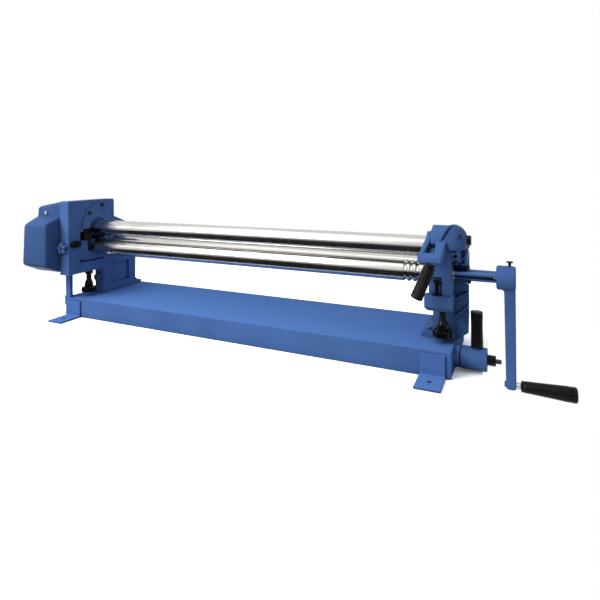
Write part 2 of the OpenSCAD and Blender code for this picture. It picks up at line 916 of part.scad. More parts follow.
module gear_guard() {
    color("royalblue") difference() {
        union() {
            difference() {
                at_rolls(guard_x0, left_out) polygon(guard_points(0));
                at_rolls(guard_x0 + guard_t, left_out + cut) polygon(guard_points(guard_t));
            }
            // wall that closes the swelling beside the housing, bolted to its ear
            at_rolls(left_out - guard_t, left_out) intersection() {
                polygon(guard_points(0));
                translate([-guard_reach - cut, guard_low - cut])
                    square([guard_reach - left_reach - slide_gap + cut, guard_top - guard_low + 2*cut]);
            }
        }
        rod_x(guard_screw_r + run, left_out - guard_t - cut, left_out + cut, lug_bolt_y, lug_z);
        rod_y(guard_screw_r + run, -left_reach - cut, -left_reach + guard_t + cut,
            bracket_screw_x, bracket_screw_z);
    }
}

// Bar inside the guard, from the housing's face to the guard's front
module guard_bracket() {
    color("dimgray") difference() {
        translate([bracket_screw_x - bracket_w/2, roll_y - left_reach + guard_t,
            bracket_screw_z - bracket_w/2])
            cube([left_out - bracket_screw_x + bracket_w/2, bracket_w, bracket_w]);
        rod_y(guard_screw_r + run, -left_reach, -left_reach + guard_t + bracket_w - cut,
            bracket_screw_x, bracket_screw_z);
    }
}

module guard_screws() {
    color("silver") {
        rod_y(guard_screw_r, -left_reach, -left_reach + guard_t + bracket_w - 2*cut,
            bracket_screw_x, bracket_screw_z);
        rod_y(guard_head_r, -left_reach - guard_head_h, -left_reach, bracket_screw_x, bracket_screw_z);
        rod_x(guard_screw_r, left_out - guard_t - lug_bolt_out, left_out + lug_w, lug_bolt_y, lug_z);
        hex_x(guard_head_r, left_out + lug_w, left_out + lug_w + guard_head_h, lug_bolt_y, lug_z);
    }
}

// Upright that carries the guard on the base's left end
module guard_strap() {
    color("royalblue") difference() {
        union() {
            translate([-base_len/2, roll_y - roll_setback, base_h])
                cube([strap_w, strap_d, guard_low - base_h]);
            translate([-base_len/2 - strap_t, roll_y - roll_setback, base_h - strap_drop])
                cube([strap_t, strap_d + strap_ear, strap_drop + strap_t]);
            translate([-base_len/2 - strap_t, roll_y - roll_setback, base_h])
                cube([strap_t + strap_w, strap_d + strap_ear, strap_t]);
        }
        rod_x(guard_screw_r + run, -base_len/2 - strap_t - cut, -base_len/2 + cut,
            strap_bolt_y, strap_bolt_z);
    }
}

module strap_bolt() {
    color("dimgray") {
        rod_x(guard_screw_r, -base_len/2 - strap_t, -base_len/2 + sheet_t + cut, strap_bolt_y,
            strap_bolt_z);
        hex_x(guard_head_r, -base_len/2 - strap_t - guard_head_h, -base_len/2 - strap_t,
            strap_bolt_y, strap_bolt_z);
    }
}

// Lock nut on the left adjusting screw, under the head
module screw_nut() {
    color("black") difference() {
        translate([left_x, roll_y + left_screw_y, head_z - screw_nut_h])
            cylinder(r = screw_nut_r, h = screw_nut_h, $fn = 6);
        rod_z(screw_r + run, head_z - screw_nut_h - cut, head_z + cut, left_x, left_screw_y);
    }
}

// Cover over the swivel bearing in the left housing's head, round below and turned above
module keeper_plate() {
    color("royalblue") difference() {
        at_rolls(left_in, left_in + keeper_t) difference() {
            union() {
                translate([keeper_round_y, top_z + keeper_round_up]) circle(r = keeper_round_r);
                translate([keeper_y, top_z + keeper_up]) rotate(keeper_turn)
                    translate([-keeper_w/2, -keeper_h/2]) square([keeper_w, keeper_h]);
            }
            translate([0, top_z]) circle(r = keeper_bore_r);
            translate([-2*keeper_round_r, top_z - 2*keeper_round_r])
                square([4*keeper_round_r, 2*keeper_round_r]);
        }
        for (s = [-1, 1]) rod_x(bolt_r + run, left_in - cut, left_in + keeper_t + cut,
            keeper_place(s)[0], keeper_place(s)[1]);
    }
}

module keeper_bolts() {
    color("gray") for (s = [-1, 1]) {
        p = keeper_place(s);
        rod_x(bolt_r, left_in - bolt_len, left_in + keeper_t, p[0], p[1]);
        hex_x(keeper_head_r, left_in + keeper_t, left_in + keeper_t + keeper_head_h, p[0], p[1]);
    }
}

function keeper_place(s) = [keeper_y + s*keeper_bolt*cos(keeper_turn),
    top_z + keeper_up + s*keeper_bolt*sin(keeper_turn)];

// Plug that closes the oil pocket of the left housing's head
module head_plug() {
    color("black") difference() {
        translate([left_in, roll_y, plug_z]) {
            translate([0, plug_y - plug_w/2 + plug_r, -plug_r])
                cube([plug_t, plug_w - 2*plug_r, 2*plug_r]);
            for (s = [-1, 1]) translate([0, plug_y + s*(plug_w/2 - plug_r), 0]) rotate([0, 90, 0])
                cylinder(r = plug_r, h = plug_t);
        }
        rod_x(plug_socket_r, left_in + plug_t - plug_socket, left_in + plug_t + cut, plug_y, plug_z);
    }
}

// Lobed hand knob on a screw
module knob(x, y) {
    difference() {
        union() {
            rod_z(knob_core_r, knob_base, knob_base + knob_h, x, y);
            for (i = [0:knob_lobes - 1])
                rod_z(knob_lobe_r, knob_base, knob_base + knob_h,
                    x + (knob_d/2 - knob_lobe_r)*cos(i*360/knob_lobes),
                    y + (knob_d/2 - knob_lobe_r)*sin(i*360/knob_lobes));
            rod_z(knob_hub_r, knob_base + knob_h, knob_base + knob_h + knob_hub_h, x, y);
            translate([x, roll_y + y, knob_base + knob_h + knob_hub_h])
                cylinder(r1 = knob_hub_r, r2 = screw_r + knob_neck_t, h = knob_cone_h);
        }
        rod_z(screw_r, knob_base + knob_floor, knob_base + knob_h + knob_hub_h + knob_cone_h + cut, x, y);
    }
}

module left_adjusting_screw() {
    color("silver") rod_z(screw_r, knob_base + knob_floor, block_z0 + screw_hold, left_x, left_screw_y);
}

module left_knob() {
    color("black") knob(left_x, left_screw_y);
}

module right_adjusting_screw() {
    color("silver") rod_z(screw_r, knob_base + knob_floor, block_z0 + screw_hold, right_x, right_screw_y);
}

module right_knob() {
    color("black") knob(right_x, right_screw_y);
}

// Round barrel of the release cap above the split, bevelled at its inner end
module cap_barrel(x0, x1) {
    intersection() {
        translate([0, roll_y, top_z]) rotate([0, 90, 0]) rotate_extrude()
            polygon([[0, x0], [cap_r - cap_bevel, x0], [cap_r, x0 + cap_bevel], [cap_r, x1 - cap_lip],
                [cap_r - cap_lip, x1], [0, x1]]);
        at_rolls(x0 - cut, x1 + cut) translate([-cap_r - cut, top_z + cap_split])
            square([cap_r + cut + hinge_y - hinge_r, cap_r + cut]);
    }
}

module nose_profile() {
    polygon([[nose_root_y, nose_top_z], [-nose_reach, nose_tip_z], [-nose_reach, nose_bottom_z],
        [-nose_reach + nose_toe, nose_bottom_z], [-cap_r, top_z + cap_split],
        [nose_root_y, top_z + cap_split]]);
}

// Pocket in the nose's top, narrow towards the barrel
module nose_pocket() {
    intersection() {
        at_rolls(nose_x0, nose_x1) polygon([[nose_pocket_y0, top_z + nose_floor],
            [nose_pocket_y1, nose_bottom_z + nose_floor + cut], [nose_pocket_y1, nose_top_z + cut],
            [nose_pocket_y0, nose_top_z + cut]]);
        translate([0, roll_y, nose_bottom_z]) linear_extrude(nose_top_z - nose_bottom_z)
            polygon([[nose_x0 + nose_web_x - nose_pocket_tip/2, nose_pocket_y0 + cut],
                [nose_x0 + nose_side, nose_pocket_y1 - cut], [nose_x1 - nose_side - cut, nose_pocket_y1 - cut],
                [nose_x0 + nose_web_x + nose_pocket_tip/2, nose_pocket_y0 + cut]]);
    }
}

module release_cap() {
    x0 = right_in + cap_inset;
    x1 = right_out + cap_over;
    x_end = right_out + saddle_over;
    color("royalblue") difference() {
        union() {
            cap_barrel(x0, x1);
            rod_x(hinge_r, right_in + ear_l + slide_gap, x_end - ear_l - slide_gap, hinge_y, hinge_z);
            at_rolls(right_in + ear_l + slide_gap, x_end - ear_l - slide_gap)
                translate([hinge_y - knuckle_web, top_z + cap_split])
                square([knuckle_web, hinge_z + hinge_r - top_z - cap_split]);
            at_rolls(nose_x0, nose_x1) nose_profile();
            // web that runs from the barrel down onto the nose
            at_rolls(nose_x0 + nose_web_x, nose_x0 + nose_web_x + nose_web_w)
                polygon([[nose_root_y + cut, top_z + cap_r*3/4], [nose_root_y, top_z + cap_r*3/4],
                    [nose_web_y, top_z + nose_web_up], [nose_root_y + cut, top_z + nose_web_up]]);
            intersection() {
                at_release() translate([0, 0, -release_boss_l])
                    cylinder(r = release_boss_r, h = release_boss_l + release_in);
                at_rolls(nose_x0, nose_x1 + release_boss_r) translate([-nose_reach, nose_bottom_z -
                    release_boss_r]) square([nose_reach, release_boss_r + nose_top_z - nose_bottom_z]);
            }
        }
        nose_pocket();
        rod_x(bush_r + slide_gap, x0 - cut, x1 - cap_wall, 0, top_z);
        rod_x(oil_hole_r, x1 - oil_hole_l, x1 + cut, oil_hole_y, top_z + oil_hole_up);
        rod_x(hinge_pin_r + run, x0 - cut, x1 + cut, hinge_y, hinge_z);
        rod_x(hinge_r + hinge_gap, x0 - cut, right_in + ear_l + slide_gap, hinge_y, hinge_z);
        rod_x(hinge_r + hinge_gap, x_end - ear_l - slide_gap, x1 + cut, hinge_y, hinge_z);
        at_release() translate([0, 0, -release_pin_l])
            cylinder(r = release_pin_r + run, h = release_pin_l + release_in);
    }
}

// Moves a handle drawn down from the origin to the nose's underside
module at_release() {
    translate([release_x, roll_y + release_y, release_z]) rotate([-release_fore, release_side,
        0]) children();
}

module release_pin() {
    color("gray") at_release() {
        translate([0, 0, -release_drop - release_grip_len + grip_end])
            cylinder(r = release_pin_r, h = release_drop + release_grip_len - grip_end + release_in);
        translate([0, 0, -release_drop]) cylinder(r = grip_collar_r, h = grip_collar);
    }
}

module release_grip() {
    color("black") at_release() translate([0, 0, -release_drop - release_grip_len]) difference() {
        cylinder(d = grip_d, h = release_grip_len);
        for (i = [0:grip_rib_n - 1]) rotate([0, 0, i*360/grip_rib_n])
            translate([grip_d/2, 0, grip_end]) cylinder(r = grip_rib_depth,
                h = release_grip_len - 2*grip_end, $fn = 16);
        translate([0, 0, grip_end]) cylinder(r = release_pin_r + run, h = release_grip_len);
    }
}

module hinge_pin() {
    x_end = right_out + saddle_over;
    color("gray") rod_x(hinge_pin_r, right_in, x_end + hinge_nut_l + hinge_pin_over, hinge_y, hinge_z);
}

module hinge_nut() {
    x_end = right_out + saddle_over;
    color("gray") difference() {
        hex_x(hinge_nut_r, x_end, x_end + hinge_nut_l, hinge_y, hinge_z);
        rod_x(hinge_pin_r, x_end - cut, x_end + hinge_nut_l + cut, hinge_y, hinge_z);
    }
}

module lock_screw() {
    color("silver") {
        rod_z(lock_r, boss_top - lock_depth + cut, boss_top + lock_up - lock_head_h, lock_x, lock_y);
        rod_z(lock_head_r, boss_top + lock_up - lock_head_h, boss_top + lock_up, lock_x, lock_y);
    }
}

module lock_washer() {
    color("gray") difference() {
        rod_z(lock_washer_r, boss_top, boss_top + lock_washer_t, lock_x, lock_y);
        rod_z(lock_r + run, boss_top - cut, boss_top + lock_washer_t + cut, lock_x, lock_y);
    }
}

// Shaft under the rolls that turns with the lift lever
module lift_shaft() {
    color("gray") {
        rod_x(lift_r, -base_len/2 - lift_over, lift_x1, lift_y, lift_z);
        rod_x(lift_stud_r, lift_x1, lift_x1 + lift_nut_l + lift_stud_l, lift_y, lift_z);
    }
}

module rocker(x) {
    at_rolls(x - rocker_w/2, x + rocker_w/2) translate([lift_y, lift_z]) rotate(-rocker_half)
        difference() {
            union() {
                circle(r = rocker_hub_r);
                polygon([[0, -rocker_root], [rocker_r, -rocker_neck], [rocker_r, rocker_neck],
                    [0, rocker_root]]);
                translate([rocker_r, 0]) circle(r = rocker_tip_r);
            }
            circle(r = lift_r);
        }
}

module rockers() {
    color("gray") {
        rocker(left_x);
        rocker(right_x);
    }
}

module lift_lever() {
    color("royalblue") difference() {
        union() {
            rod_x(lift_hub_r, lift_x0, lift_x1, lift_y, lift_z);
            rod_z(lift_collar_r, lift_z, lift_z + lift_hub_r + lift_grip_neck, lift_grip_at, lift_y);
        }
        rod_x(lift_r, lift_x0 - cut, lift_x1 + cut, lift_y, lift_z);
        rod_z(lift_stem_r, lift_z + lift_r + cut, lift_z + lift_hub_r + lift_grip_neck + cut,
            lift_grip_at, lift_y);
    }
}

module lift_stem() {
    color("gray") rod_z(lift_stem_r, lift_z + lift_r + cut,
        lift_z + lift_hub_r + lift_grip_neck + lift_grip_len - grip_end,
        lift_grip_at, lift_y);
}

module lift_grip() {
    z0 = lift_z + lift_hub_r + lift_grip_neck;
    color("black") difference() {
        rod_z(grip_d/2, z0, z0 + lift_grip_len, lift_grip_at, lift_y);
        for (i = [0:grip_rib_n - 1])
            rod_z(grip_rib_depth, z0 + grip_end, z0 + lift_grip_len - grip_end,
                lift_grip_at + grip_d/2*cos(i*360/grip_rib_n), lift_y + grip_d/2*sin(i*360/grip_rib_n));
        rod_z(lift_stem_r, z0 - cut, z0 + lift_grip_len - grip_end, lift_grip_at, lift_y);
    }
}

module lift_nut() {
    color("gray") difference() {
        hex_x(lift_nut_r, lift_x1, lift_x1 + lift_nut_l, lift_y, lift_z);
        rod_x(lift_stud_r, lift_x1 - cut, lift_x1 + lift_nut_l + cut, lift_y, lift_z);
    }
}

module crank_shaft() {
    color("dimgray") difference() {
        rod_x(crank_shaft_r, right_out + crank_collar, crank_x1, 0, low_z);
        rod_x(crank_spigot_r, right_out + crank_collar - cut,
            right_out + crank_collar + crank_spigot_l, 0, low_z);
        rod_z(set_screw_r, low_z - crank_shaft_r - cut, low_z, right_out + set_screw_x, 0);
    }
}

module set_screw() {
    color("silver") difference() {
        rod_z(set_screw_r, low_z - crank_shaft_r - set_screw_l, low_z, right_out + set_screw_x, 0);
        rod_x(crank_spigot_r, right_out, crank_x1, 0, low_z);
    }
}

module crank_arm() {
    color("dimgray") difference() {
        union() {
            rod_x(crank_hub_r, crank_x0, crank_x1, 0, low_z);
            translate([crank_x1 - arm_inset, roll_y, low_z]) rotate([90, 0, 0])
                linear_extrude(arm_d, center = true)
                    polygon([[0, 0], [-arm_w, 0], [-arm_w, -crank_hub_r], [-arm_tip_w,
                        -crank_r - arm_tail],
                        [0, -crank_r - arm_tail]]);
        }
        rod_x(crank_shaft_r, crank_x0 - cut, crank_x1 + cut, 0, low_z);
        rod_x(handle_pin_r, crank_x0 - cut, crank_x1 + cut, 0, low_z - crank_r);
        rod_z(thumb_r + run, low_z + crank_hub_r - thumb_depth, low_z + crank_hub_r + cut, thumb_x, 0);
    }
}

module thumb_screw() {
    color("silver") {
        rod_z(thumb_r, low_z + crank_hub_r - thumb_depth,
            low_z + crank_hub_r + thumb_up - thumb_head_h, thumb_x, 0);
        rod_z(thumb_head_r, low_z + crank_hub_r + thumb_up - thumb_head_h,
            low_z + crank_hub_r + thumb_up, thumb_x, 0);
    }
}

module handle_pin() {
    color("gray") {
        rod_x(handle_pin_r, crank_x1 - arm_inset - arm_tip_w, handle_x1 - handle_end, 0, low_z - crank_r);
        rod_x(handle_shoulder_r, crank_x1 - arm_inset, handle_x0 - slide_gap, 0, low_z - crank_r);
    }
}

module crank_grip() {
    color("black") translate([0, roll_y, low_z - crank_r]) rotate([0, 90, 0]) rotate_extrude()
        polygon(concat([[handle_pin_r + run, handle_x0], [handle_r0, handle_x0]],
            [for (i = [0:6]) let (a = i*15) [handle_r1 - handle_round + handle_round*cos(a),
                handle_x1 - handle_round + handle_round*sin(a)]],
            [[0, handle_x1], [0, handle_x1 - handle_end + slide_gap],
                [handle_pin_r + run, handle_x1 - handle_end + slide_gap]]));
}

base_channel();
left_end_plate();
right_end_plate();
foot_angles();
left_housing();
right_housing();
housing_bolts();
gear_guard();
guard_bracket();
guard_screws();
guard_strap();
strap_bolt();
screw_nut();
keeper_plate();
keeper_bolts();
head_plug();
hinge_pin();
hinge_nut();
lock_washer();
left_lower_block();
right_lower_block();
lower_bushes();
lower_roll();
lower_gear();
lower_gear_nut();
crank_shaft();
set_screw();
crank_arm();
handle_pin();
crank_grip();
thumb_screw();
left_adjusting_screw();
left_knob();
right_adjusting_screw();
right_knob();
swivel_bush();
top_right_bush();
top_roll();
top_gear();
top_gear_nut();
release_cap();
release_pin();
release_grip();
rear_blocks();
rear_bushes();
lift_stems();
rear_roll();
lift_shaft();
rockers();
lift_lever();
lift_stem();
lift_grip();
lift_nut();
lock_screw();
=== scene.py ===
import json
import math
import bpy
import bmesh
import numpy as np
from mathutils import Matrix, Vector


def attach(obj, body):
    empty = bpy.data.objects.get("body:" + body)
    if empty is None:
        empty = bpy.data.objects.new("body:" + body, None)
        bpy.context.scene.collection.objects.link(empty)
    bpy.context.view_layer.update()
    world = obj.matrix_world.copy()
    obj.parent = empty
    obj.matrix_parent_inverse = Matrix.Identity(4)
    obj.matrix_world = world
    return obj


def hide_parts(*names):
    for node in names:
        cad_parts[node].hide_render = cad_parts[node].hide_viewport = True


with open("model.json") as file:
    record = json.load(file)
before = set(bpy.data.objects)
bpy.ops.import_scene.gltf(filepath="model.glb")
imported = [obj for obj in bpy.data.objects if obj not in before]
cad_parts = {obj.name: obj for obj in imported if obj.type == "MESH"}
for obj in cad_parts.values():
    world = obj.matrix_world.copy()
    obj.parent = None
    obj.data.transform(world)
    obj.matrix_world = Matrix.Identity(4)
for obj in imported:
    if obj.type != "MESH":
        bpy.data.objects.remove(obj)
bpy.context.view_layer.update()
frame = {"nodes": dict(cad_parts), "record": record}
nodes = frame["nodes"]
mm = 0.001
print("frame loaded,", len(nodes), "nodes")


def pick(table, names):
    # several entries of a dictionary, in the order in which they are named
    return [table[name] for name in names.split()]


# Main places of the machine in millimetres: X along the rolls, Y rearwards, Z up
place = {
    "rollY": -88, "topZ": 340, "lowZ": 266, "rearY": -6, "rearZ": 268,
    "rollX0": -636.5, "rollX1": 663.5, "rollR": 30, "journalR": 16,
    "rearJournalR": 11, "hinge": (0, -42, 338),
    "leftScrew": (-661, -110), "rightScrew": (696, -88),
}
rollY, topZ = pick(place, "rollY topZ")

bodyOf, slotOf = {}, {}
for bodyName, members in frame["record"]["behaviour"]["bodies"].items():
    for member in members:
        bodyOf[member] = bodyName
for part in frame["record"]["subparts"]:
    slotOf[part["node"]] = part["material_slot"]


# Mesh helpers: every shape is drawn in millimetres and put into its mesh in metres
def gridFaces(rows, cols, closedCols=True):
    # quads between neighbouring rows and columns of a grid of points, wrapping round where closed
    r, c = np.meshgrid(np.arange(rows - 1), np.arange(cols if closedCols else cols - 1), indexing="ij")
    nextC = (c + 1) % cols
    return np.stack([r * cols + c, r * cols + nextC, (r + 1) * cols + nextC, (r + 1) * cols + c],
                    -1).reshape(-1, 4).tolist()


def loft(rings):
    # a closed skin over a stack of closed outlines that all have the same number of points
    rings = np.asarray(rings, float)
    rows, cols = rings.shape[:2]
    faces = gridFaces(rows, cols)
    faces += [list(range(cols))[::-1], list(range((rows - 1) * cols, rows * cols))]
    return rings.reshape(-1, 3), faces


def joinParts(parts):
    # one point array and one face list from several (points, faces) pairs
    points, faces, start = [], [], 0
    for p, f in parts:
        points.append(np.asarray(p, float).reshape(-1, 3))
        faces += [[int(i) + start for i in q] for q in f]
        start += len(points[-1])
    return np.concatenate(points), faces


def placed(name, data):
    # a new object that holds the data, put into the scene
    o = bpy.data.objects.new(name, data)
    bpy.context.collection.objects.link(o)
    return o


def newMesh(name, points, faces):
    mesh = bpy.data.meshes.new(name)
    mesh.from_pydata(points, [], faces)
    return mesh


def makePiece(name, parts, material, body, slotName, angle):
    # (points, faces) pairs in millimetres joined to one piece that rides its body
    points, faces = joinParts(parts)
    mesh = newMesh(name, (points * mm).tolist(), faces)
    b = bmesh.new()
    b.from_mesh(mesh)
    bmesh.ops.remove_doubles(b, verts=b.verts, dist=1e-6)
    bmesh.ops.recalc_face_normals(b, faces=b.faces)
    b.to_mesh(mesh)
    b.free()
    piece = placed(name, mesh)
    mesh.materials.append(material)
    mesh.shade_smooth()
    sharpen(mesh, angle)
    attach(piece, body)
    return piece


def standIn(name, node, parts, angle=35, slotName=None, finish=None):
    # a worked surface that takes a CAD node's place, with its body and its finish
    slotName = slotName or slotOf[node]
    piece = makePiece(name, parts, finish or finishes[slotName], bodyOf[node], slotName, angle)
    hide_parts(node)
    return piece


def detail(name, node, parts, slotName, angle=35):
    # a small form that only the visual model has; it rides the body of the node that it sits on
    return makePiece(name, parts, finishes[slotName], bodyOf[node], slotName, angle)


def sharpen(mesh, angle):
    # edges that bend more than the angle stay sharp
    b = bmesh.new()
    b.from_mesh(mesh)
    limit = math.radians(angle)
    for e in b.edges:
        e.smooth = len(e.link_faces) == 2 and e.calc_face_angle(0) < limit
    b.to_mesh(mesh)
    b.free()


def softCopy(node, width, segments=3, angle=30):
    # the CAD piece again, its loose triangles merged and its edges rounded to the given radius
    mesh = nodes[node].data.copy()
    b = bmesh.new()
    b.from_mesh(mesh)
    bmesh.ops.remove_doubles(b, verts=b.verts, dist=2e-6)
    bmesh.ops.dissolve_limit(b, angle_limit=math.radians(0.6), verts=b.verts, edges=b.edges,
                             use_dissolve_boundaries=False)
    b.to_mesh(mesh)
    b.free()
    piece = placed(node + "Worked", mesh)
    mesh.materials.clear()
    mesh.materials.append(finishes[slotOf[node]])
    mesh.shade_smooth()
    sharpen(mesh, 25)
    rim = piece.modifiers.new("rim", "BEVEL")
    rim.width = width * mm
    rim.segments = segments
    rim.limit_method = "ANGLE"
    rim.angle_limit = math.radians(angle)
    rim.use_clamp_overlap = True
    rim.miter_outer = "MITER_ARC"
    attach(piece, bodyOf[node])
    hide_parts(node)


# Profiles and solids
def turned(profile, steps=72, axis="x", at=(0, 0, 0), shape=None):
    # (along, radius) pairs turned about an axis; shape(angle, along, radius) may change the radius
    prof = np.asarray(profile, float)
    t = np.broadcast_to(np.arange(steps) * 2 * np.pi / steps, (len(prof), steps))
    along = np.broadcast_to(prof[:, :1], t.shape)
    r = np.broadcast_to(prof[:, 1:2], t.shape)
    if shape is not None:
        r = shape(t, along, r)
    a, b = r * np.cos(t), r * np.sin(t)
    axes = {"x": (along, a, b), "y": (b, along, a), "z": (a, b, along)}[axis]
    return loft(np.stack(axes, -1) + np.asarray(at, float))


def quarter(steps):
    # a quarter circle in shares of its radius: 1 - cos and 1 - sin of the angle from 0 to 90 degrees
    a = np.linspace(0, np.pi / 2, steps + 1)
    return np.stack([1 - np.cos(a), 1 - np.sin(a)], 1)


def rimmed(start, end, r0, r1, edge, steps=4):
    # (along, radius) pairs of a rod from start to end whose two rims are quarter circles
    c, s = quarter(steps).T
    way = 1 if end > start else -1
    first = np.stack([start + way * edge * c, r0 - edge * s], 1)
    last = np.stack([end - way * edge * s, r1 - edge * c], 1)
    return np.concatenate([[[start, max(r0 - edge * 2.5, 0.3)]], first, last,
                           [[end, max(r1 - edge * 2.5, 0.3)]]])


def fadeIn(v, low, high, width):
    # 1 between low and high, falling to 0 over the width inside each of them
    return np.clip((v - low) / width, 0, 1) * np.clip((high - v) / width, 0, 1)


def arcPoints(cy, cz, r, a0, a1, n):
    # points of an arc about a centre, from angle a0 to a1 in degrees
    a = np.radians(np.linspace(a0, a1, n + 1))
    return np.stack([cy + r * np.cos(a), cz + r * np.sin(a)], 1)


def insetLoop(loop, d):
    # a closed outline moved inward by d along its mitred corner normals
    loop = np.asarray(loop, float)
    nxt, prv = np.roll(loop, -1, 0), np.roll(loop, 1, 0)
    area = 0.5 * np.sum(loop[:, 0] * nxt[:, 1] - nxt[:, 0] * loop[:, 1])

    def unit(v):
        return v / np.maximum(np.linalg.norm(v, axis=1, keepdims=True), 1e-9)
    n1, n2 = [unit(np.stack([-e[:, 1], e[:, 0]], 1)) for e in (loop - prv, nxt - loop)]
    m = unit(n1 + n2)
    half = np.maximum(np.sum(m * n1, 1, keepdims=True), 0.5)
    return loop + m / half * d * np.sign(area)


def roundedCorners(corners, radius, steps=5):
    # a polygon with each corner swapped for an arc of its own radius that touches both sides
    corners = np.asarray(corners, float)
    radius = np.broadcast_to(np.asarray(radius, float), (len(corners),))
    out = []
    for i, p in enumerate(corners):
        a, b = corners[i - 1] - p, corners[(i + 1) % len(corners)] - p
        la, lb = np.linalg.norm(a), np.linalg.norm(b)
        a, b = a / la, b / lb
        half = math.acos(float(np.clip(a @ b, -1, 1))) / 2
        r = min(radius[i], 0.49 * min(la, lb) * math.tan(half))
        if r < 0.05:
            out.append(p[None])
            continue
        mid = (a + b) / np.linalg.norm(a + b)
        centre = p + mid * r / math.sin(half)
        p0, p1 = p + a * r / math.tan(half) - centre, p + b * r / math.tan(half) - centre
        turn = math.atan2(p0[0] * p1[1] - p0[1] * p1[0], p0 @ p1)
        t = np.linspace(0, turn, steps + 1)[:, None]
        out.append(centre + np.hstack([p0[0] * np.cos(t) - p0[1] * np.sin(t),
                                       p0[0] * np.sin(t) + p0[1] * np.cos(t)]))
    return np.concatenate(out)


def carried(loop, start, end, edge=0, axis="x", steps=3):
    # an outline carried straight along an axis, its two rims rounded to the edge radius
    turn = quarter(steps if edge > 0 else 0)
    rings = [(start + edge * c, edge * s) for c, s in turn]
    rings += [(end - edge * c, edge * s) for c, s in turn[::-1]]
    order = {"x": (2, 0, 1), "y": (0, 2, 1), "z": (0, 1, 2)}[axis]
    stack = []
    for along, d in rings:
        l = insetLoop(loop, d)
        stack.append(np.column_stack([l, np.full(len(l), along)])[:, order])
    return loft(stack)


def hexHead(across, start, end, edge, axis="x", at=(0, 0, 0)):
    # a hexagon across its corners whose outer rim is cut by the cone that a turned bar leaves
    def flats(t, along, r):
        flat = across / 2 * math.cos(math.pi / 6) / np.cos((t + np.pi / 6) % (np.pi / 3) - np.pi / 6)
        return np.minimum(flat, r)
    big = across / 2
    away = np.sign(end - start)
    prof = [(start, big), (end - away * edge, big), (end, big * 0.9), (end, big * 0.5)]
    return turned(prof, 60, axis, at, flats)


def washerFace(start, end, bores, radius, steps, axis, at):
    # the plain round face under a hexagon, its outer edge broken by 0.2 mm
    broken = 0.2
    back = broken * np.sign(end - start)
    prof = [(start, bores[0]), (start, radius - broken), (end - back, radius), (end, bores[1])]
    return turned(prof, steps, axis, at)


bead = {"step": 2.2, "aside": (0.31, 0.52, 0.79), "ripple": 0.16, "pitch": 5.5, "uneven": 0.08, "ends": 0.4}


def beadAlong(path, radius, seed):
    # a weld bead: a half round carried along a path, its radius rippling as the runs overlap
    path = np.asarray(path, float)
    seg = np.linalg.norm(np.diff(path, axis=0), axis=1)
    dist = np.concatenate([[0], np.cumsum(seg)])
    n = max(int(dist[-1] / bead["step"]), 6)
    s = np.linspace(0, dist[-1], n)
    line = np.stack([np.interp(s, dist, path[:, k]) for k in range(3)], 1)
    tangent = np.gradient(line, axis=0)
    tangent /= np.linalg.norm(tangent, axis=1, keepdims=True)
    u = np.cross(tangent, bead["aside"])
    u /= np.linalg.norm(u, axis=1, keepdims=True)
    v = np.cross(tangent, u)
    rng = np.random.default_rng(seed)
    ripple = bead["ripple"] * np.sin(s * 2 * np.pi / bead["pitch"])
    r = radius * (1 + ripple + bead["uneven"] * rng.standard_normal(n))
    r[[0, -1]] *= bead["ends"]
    t = np.arange(10) * 2 * np.pi / 10
    rings = line[:, None] + r[:, None, None] * (u[:, None] * np.cos(t)[None, :, None]
                                                + v[:, None] * np.sin(t)[None, :, None])
    return loft(rings)


# Materials: patterns read Object coordinates, so their scale is in metres
def newMaterial(name, color, rough, metal=0, specular=0.5):
    m = bpy.data.materials.new(name)
    m.use_nodes = True
    n = m.node_tree.nodes
    shader = n["Principled BSDF"]
    shader.inputs["Base Color"].default_value = (*color, 1)
    shader.inputs["Roughness"].default_value = rough
    shader.inputs["Metallic"].default_value = metal
    shader.inputs["Specular IOR Level"].default_value = specular
    return m, n, m.node_tree.links, shader


def noise(n, l, scale, detail=3, stretch=(1, 1, 1), rough=0.5):
    where = n.new("ShaderNodeTexCoord")
    turn = n.new("ShaderNodeMapping")
    turn.inputs["Scale"].default_value = stretch
    tex = n.new("ShaderNodeTexNoise")
    tex.inputs["Scale"].default_value = scale
    tex.inputs["Detail"].default_value = detail
    tex.inputs["Roughness"].default_value = rough
    l.new(where.outputs["Object"], turn.inputs["Vector"])
    l.new(turn.outputs["Vector"], tex.inputs["Vector"])
    return tex.outputs["Fac"]


def ramp(n, l, source, stops):
    r = n.new("ShaderNodeValToRGB")
    r.color_ramp.elements[0].position, r.color_ramp.elements[0].color = stops[0][0], (*stops[0][1], 1)
    r.color_ramp.elements[1].position, r.color_ramp.elements[1].color = stops[-1][0], (*stops[-1][1], 1)
    for p, c in stops[1:-1]:
        e = r.color_ramp.elements.new(p)
        e.color = (*c, 1)
    l.new(source, r.inputs["Fac"])
    return r.outputs["Color"]


def blendColor(n, l, factor, a, b, way="MIX"):
    mix = n.new("ShaderNodeMix")
    mix.data_type = "RGBA"
    mix.blend_type = way
    l.new(factor, mix.inputs[0])
    for source, socket in ((a, mix.inputs[6]), (b, mix.inputs[7])):
        if isinstance(source, tuple):
            socket.default_value = (*source, 1)
        else:
            l.new(source, socket)
    return mix.outputs[2]


def remap(n, l, source, low, high, toLow, toHigh):
    r = n.new("ShaderNodeMapRange")
    for name, v in (("From Min", low), ("From Max", high), ("To Min", toLow), ("To Max", toHigh)):
        r.inputs[name].default_value = v
    l.new(source, r.inputs["Value"])
    return r.outputs["Result"]


def bump(n, l, shader, source, distance, after=None):
    b = n.new("ShaderNodeBump")
    b.inputs["Distance"].default_value = distance
    l.new(source, b.inputs["Height"])
    if after is not None:
        l.new(after, b.inputs["Normal"])
    l.new(b.outputs["Normal"], shader.inputs["Normal"])
    return b.outputs["Normal"]


def shade(color, k):
    return tuple(min(1, c * k) for c in color)


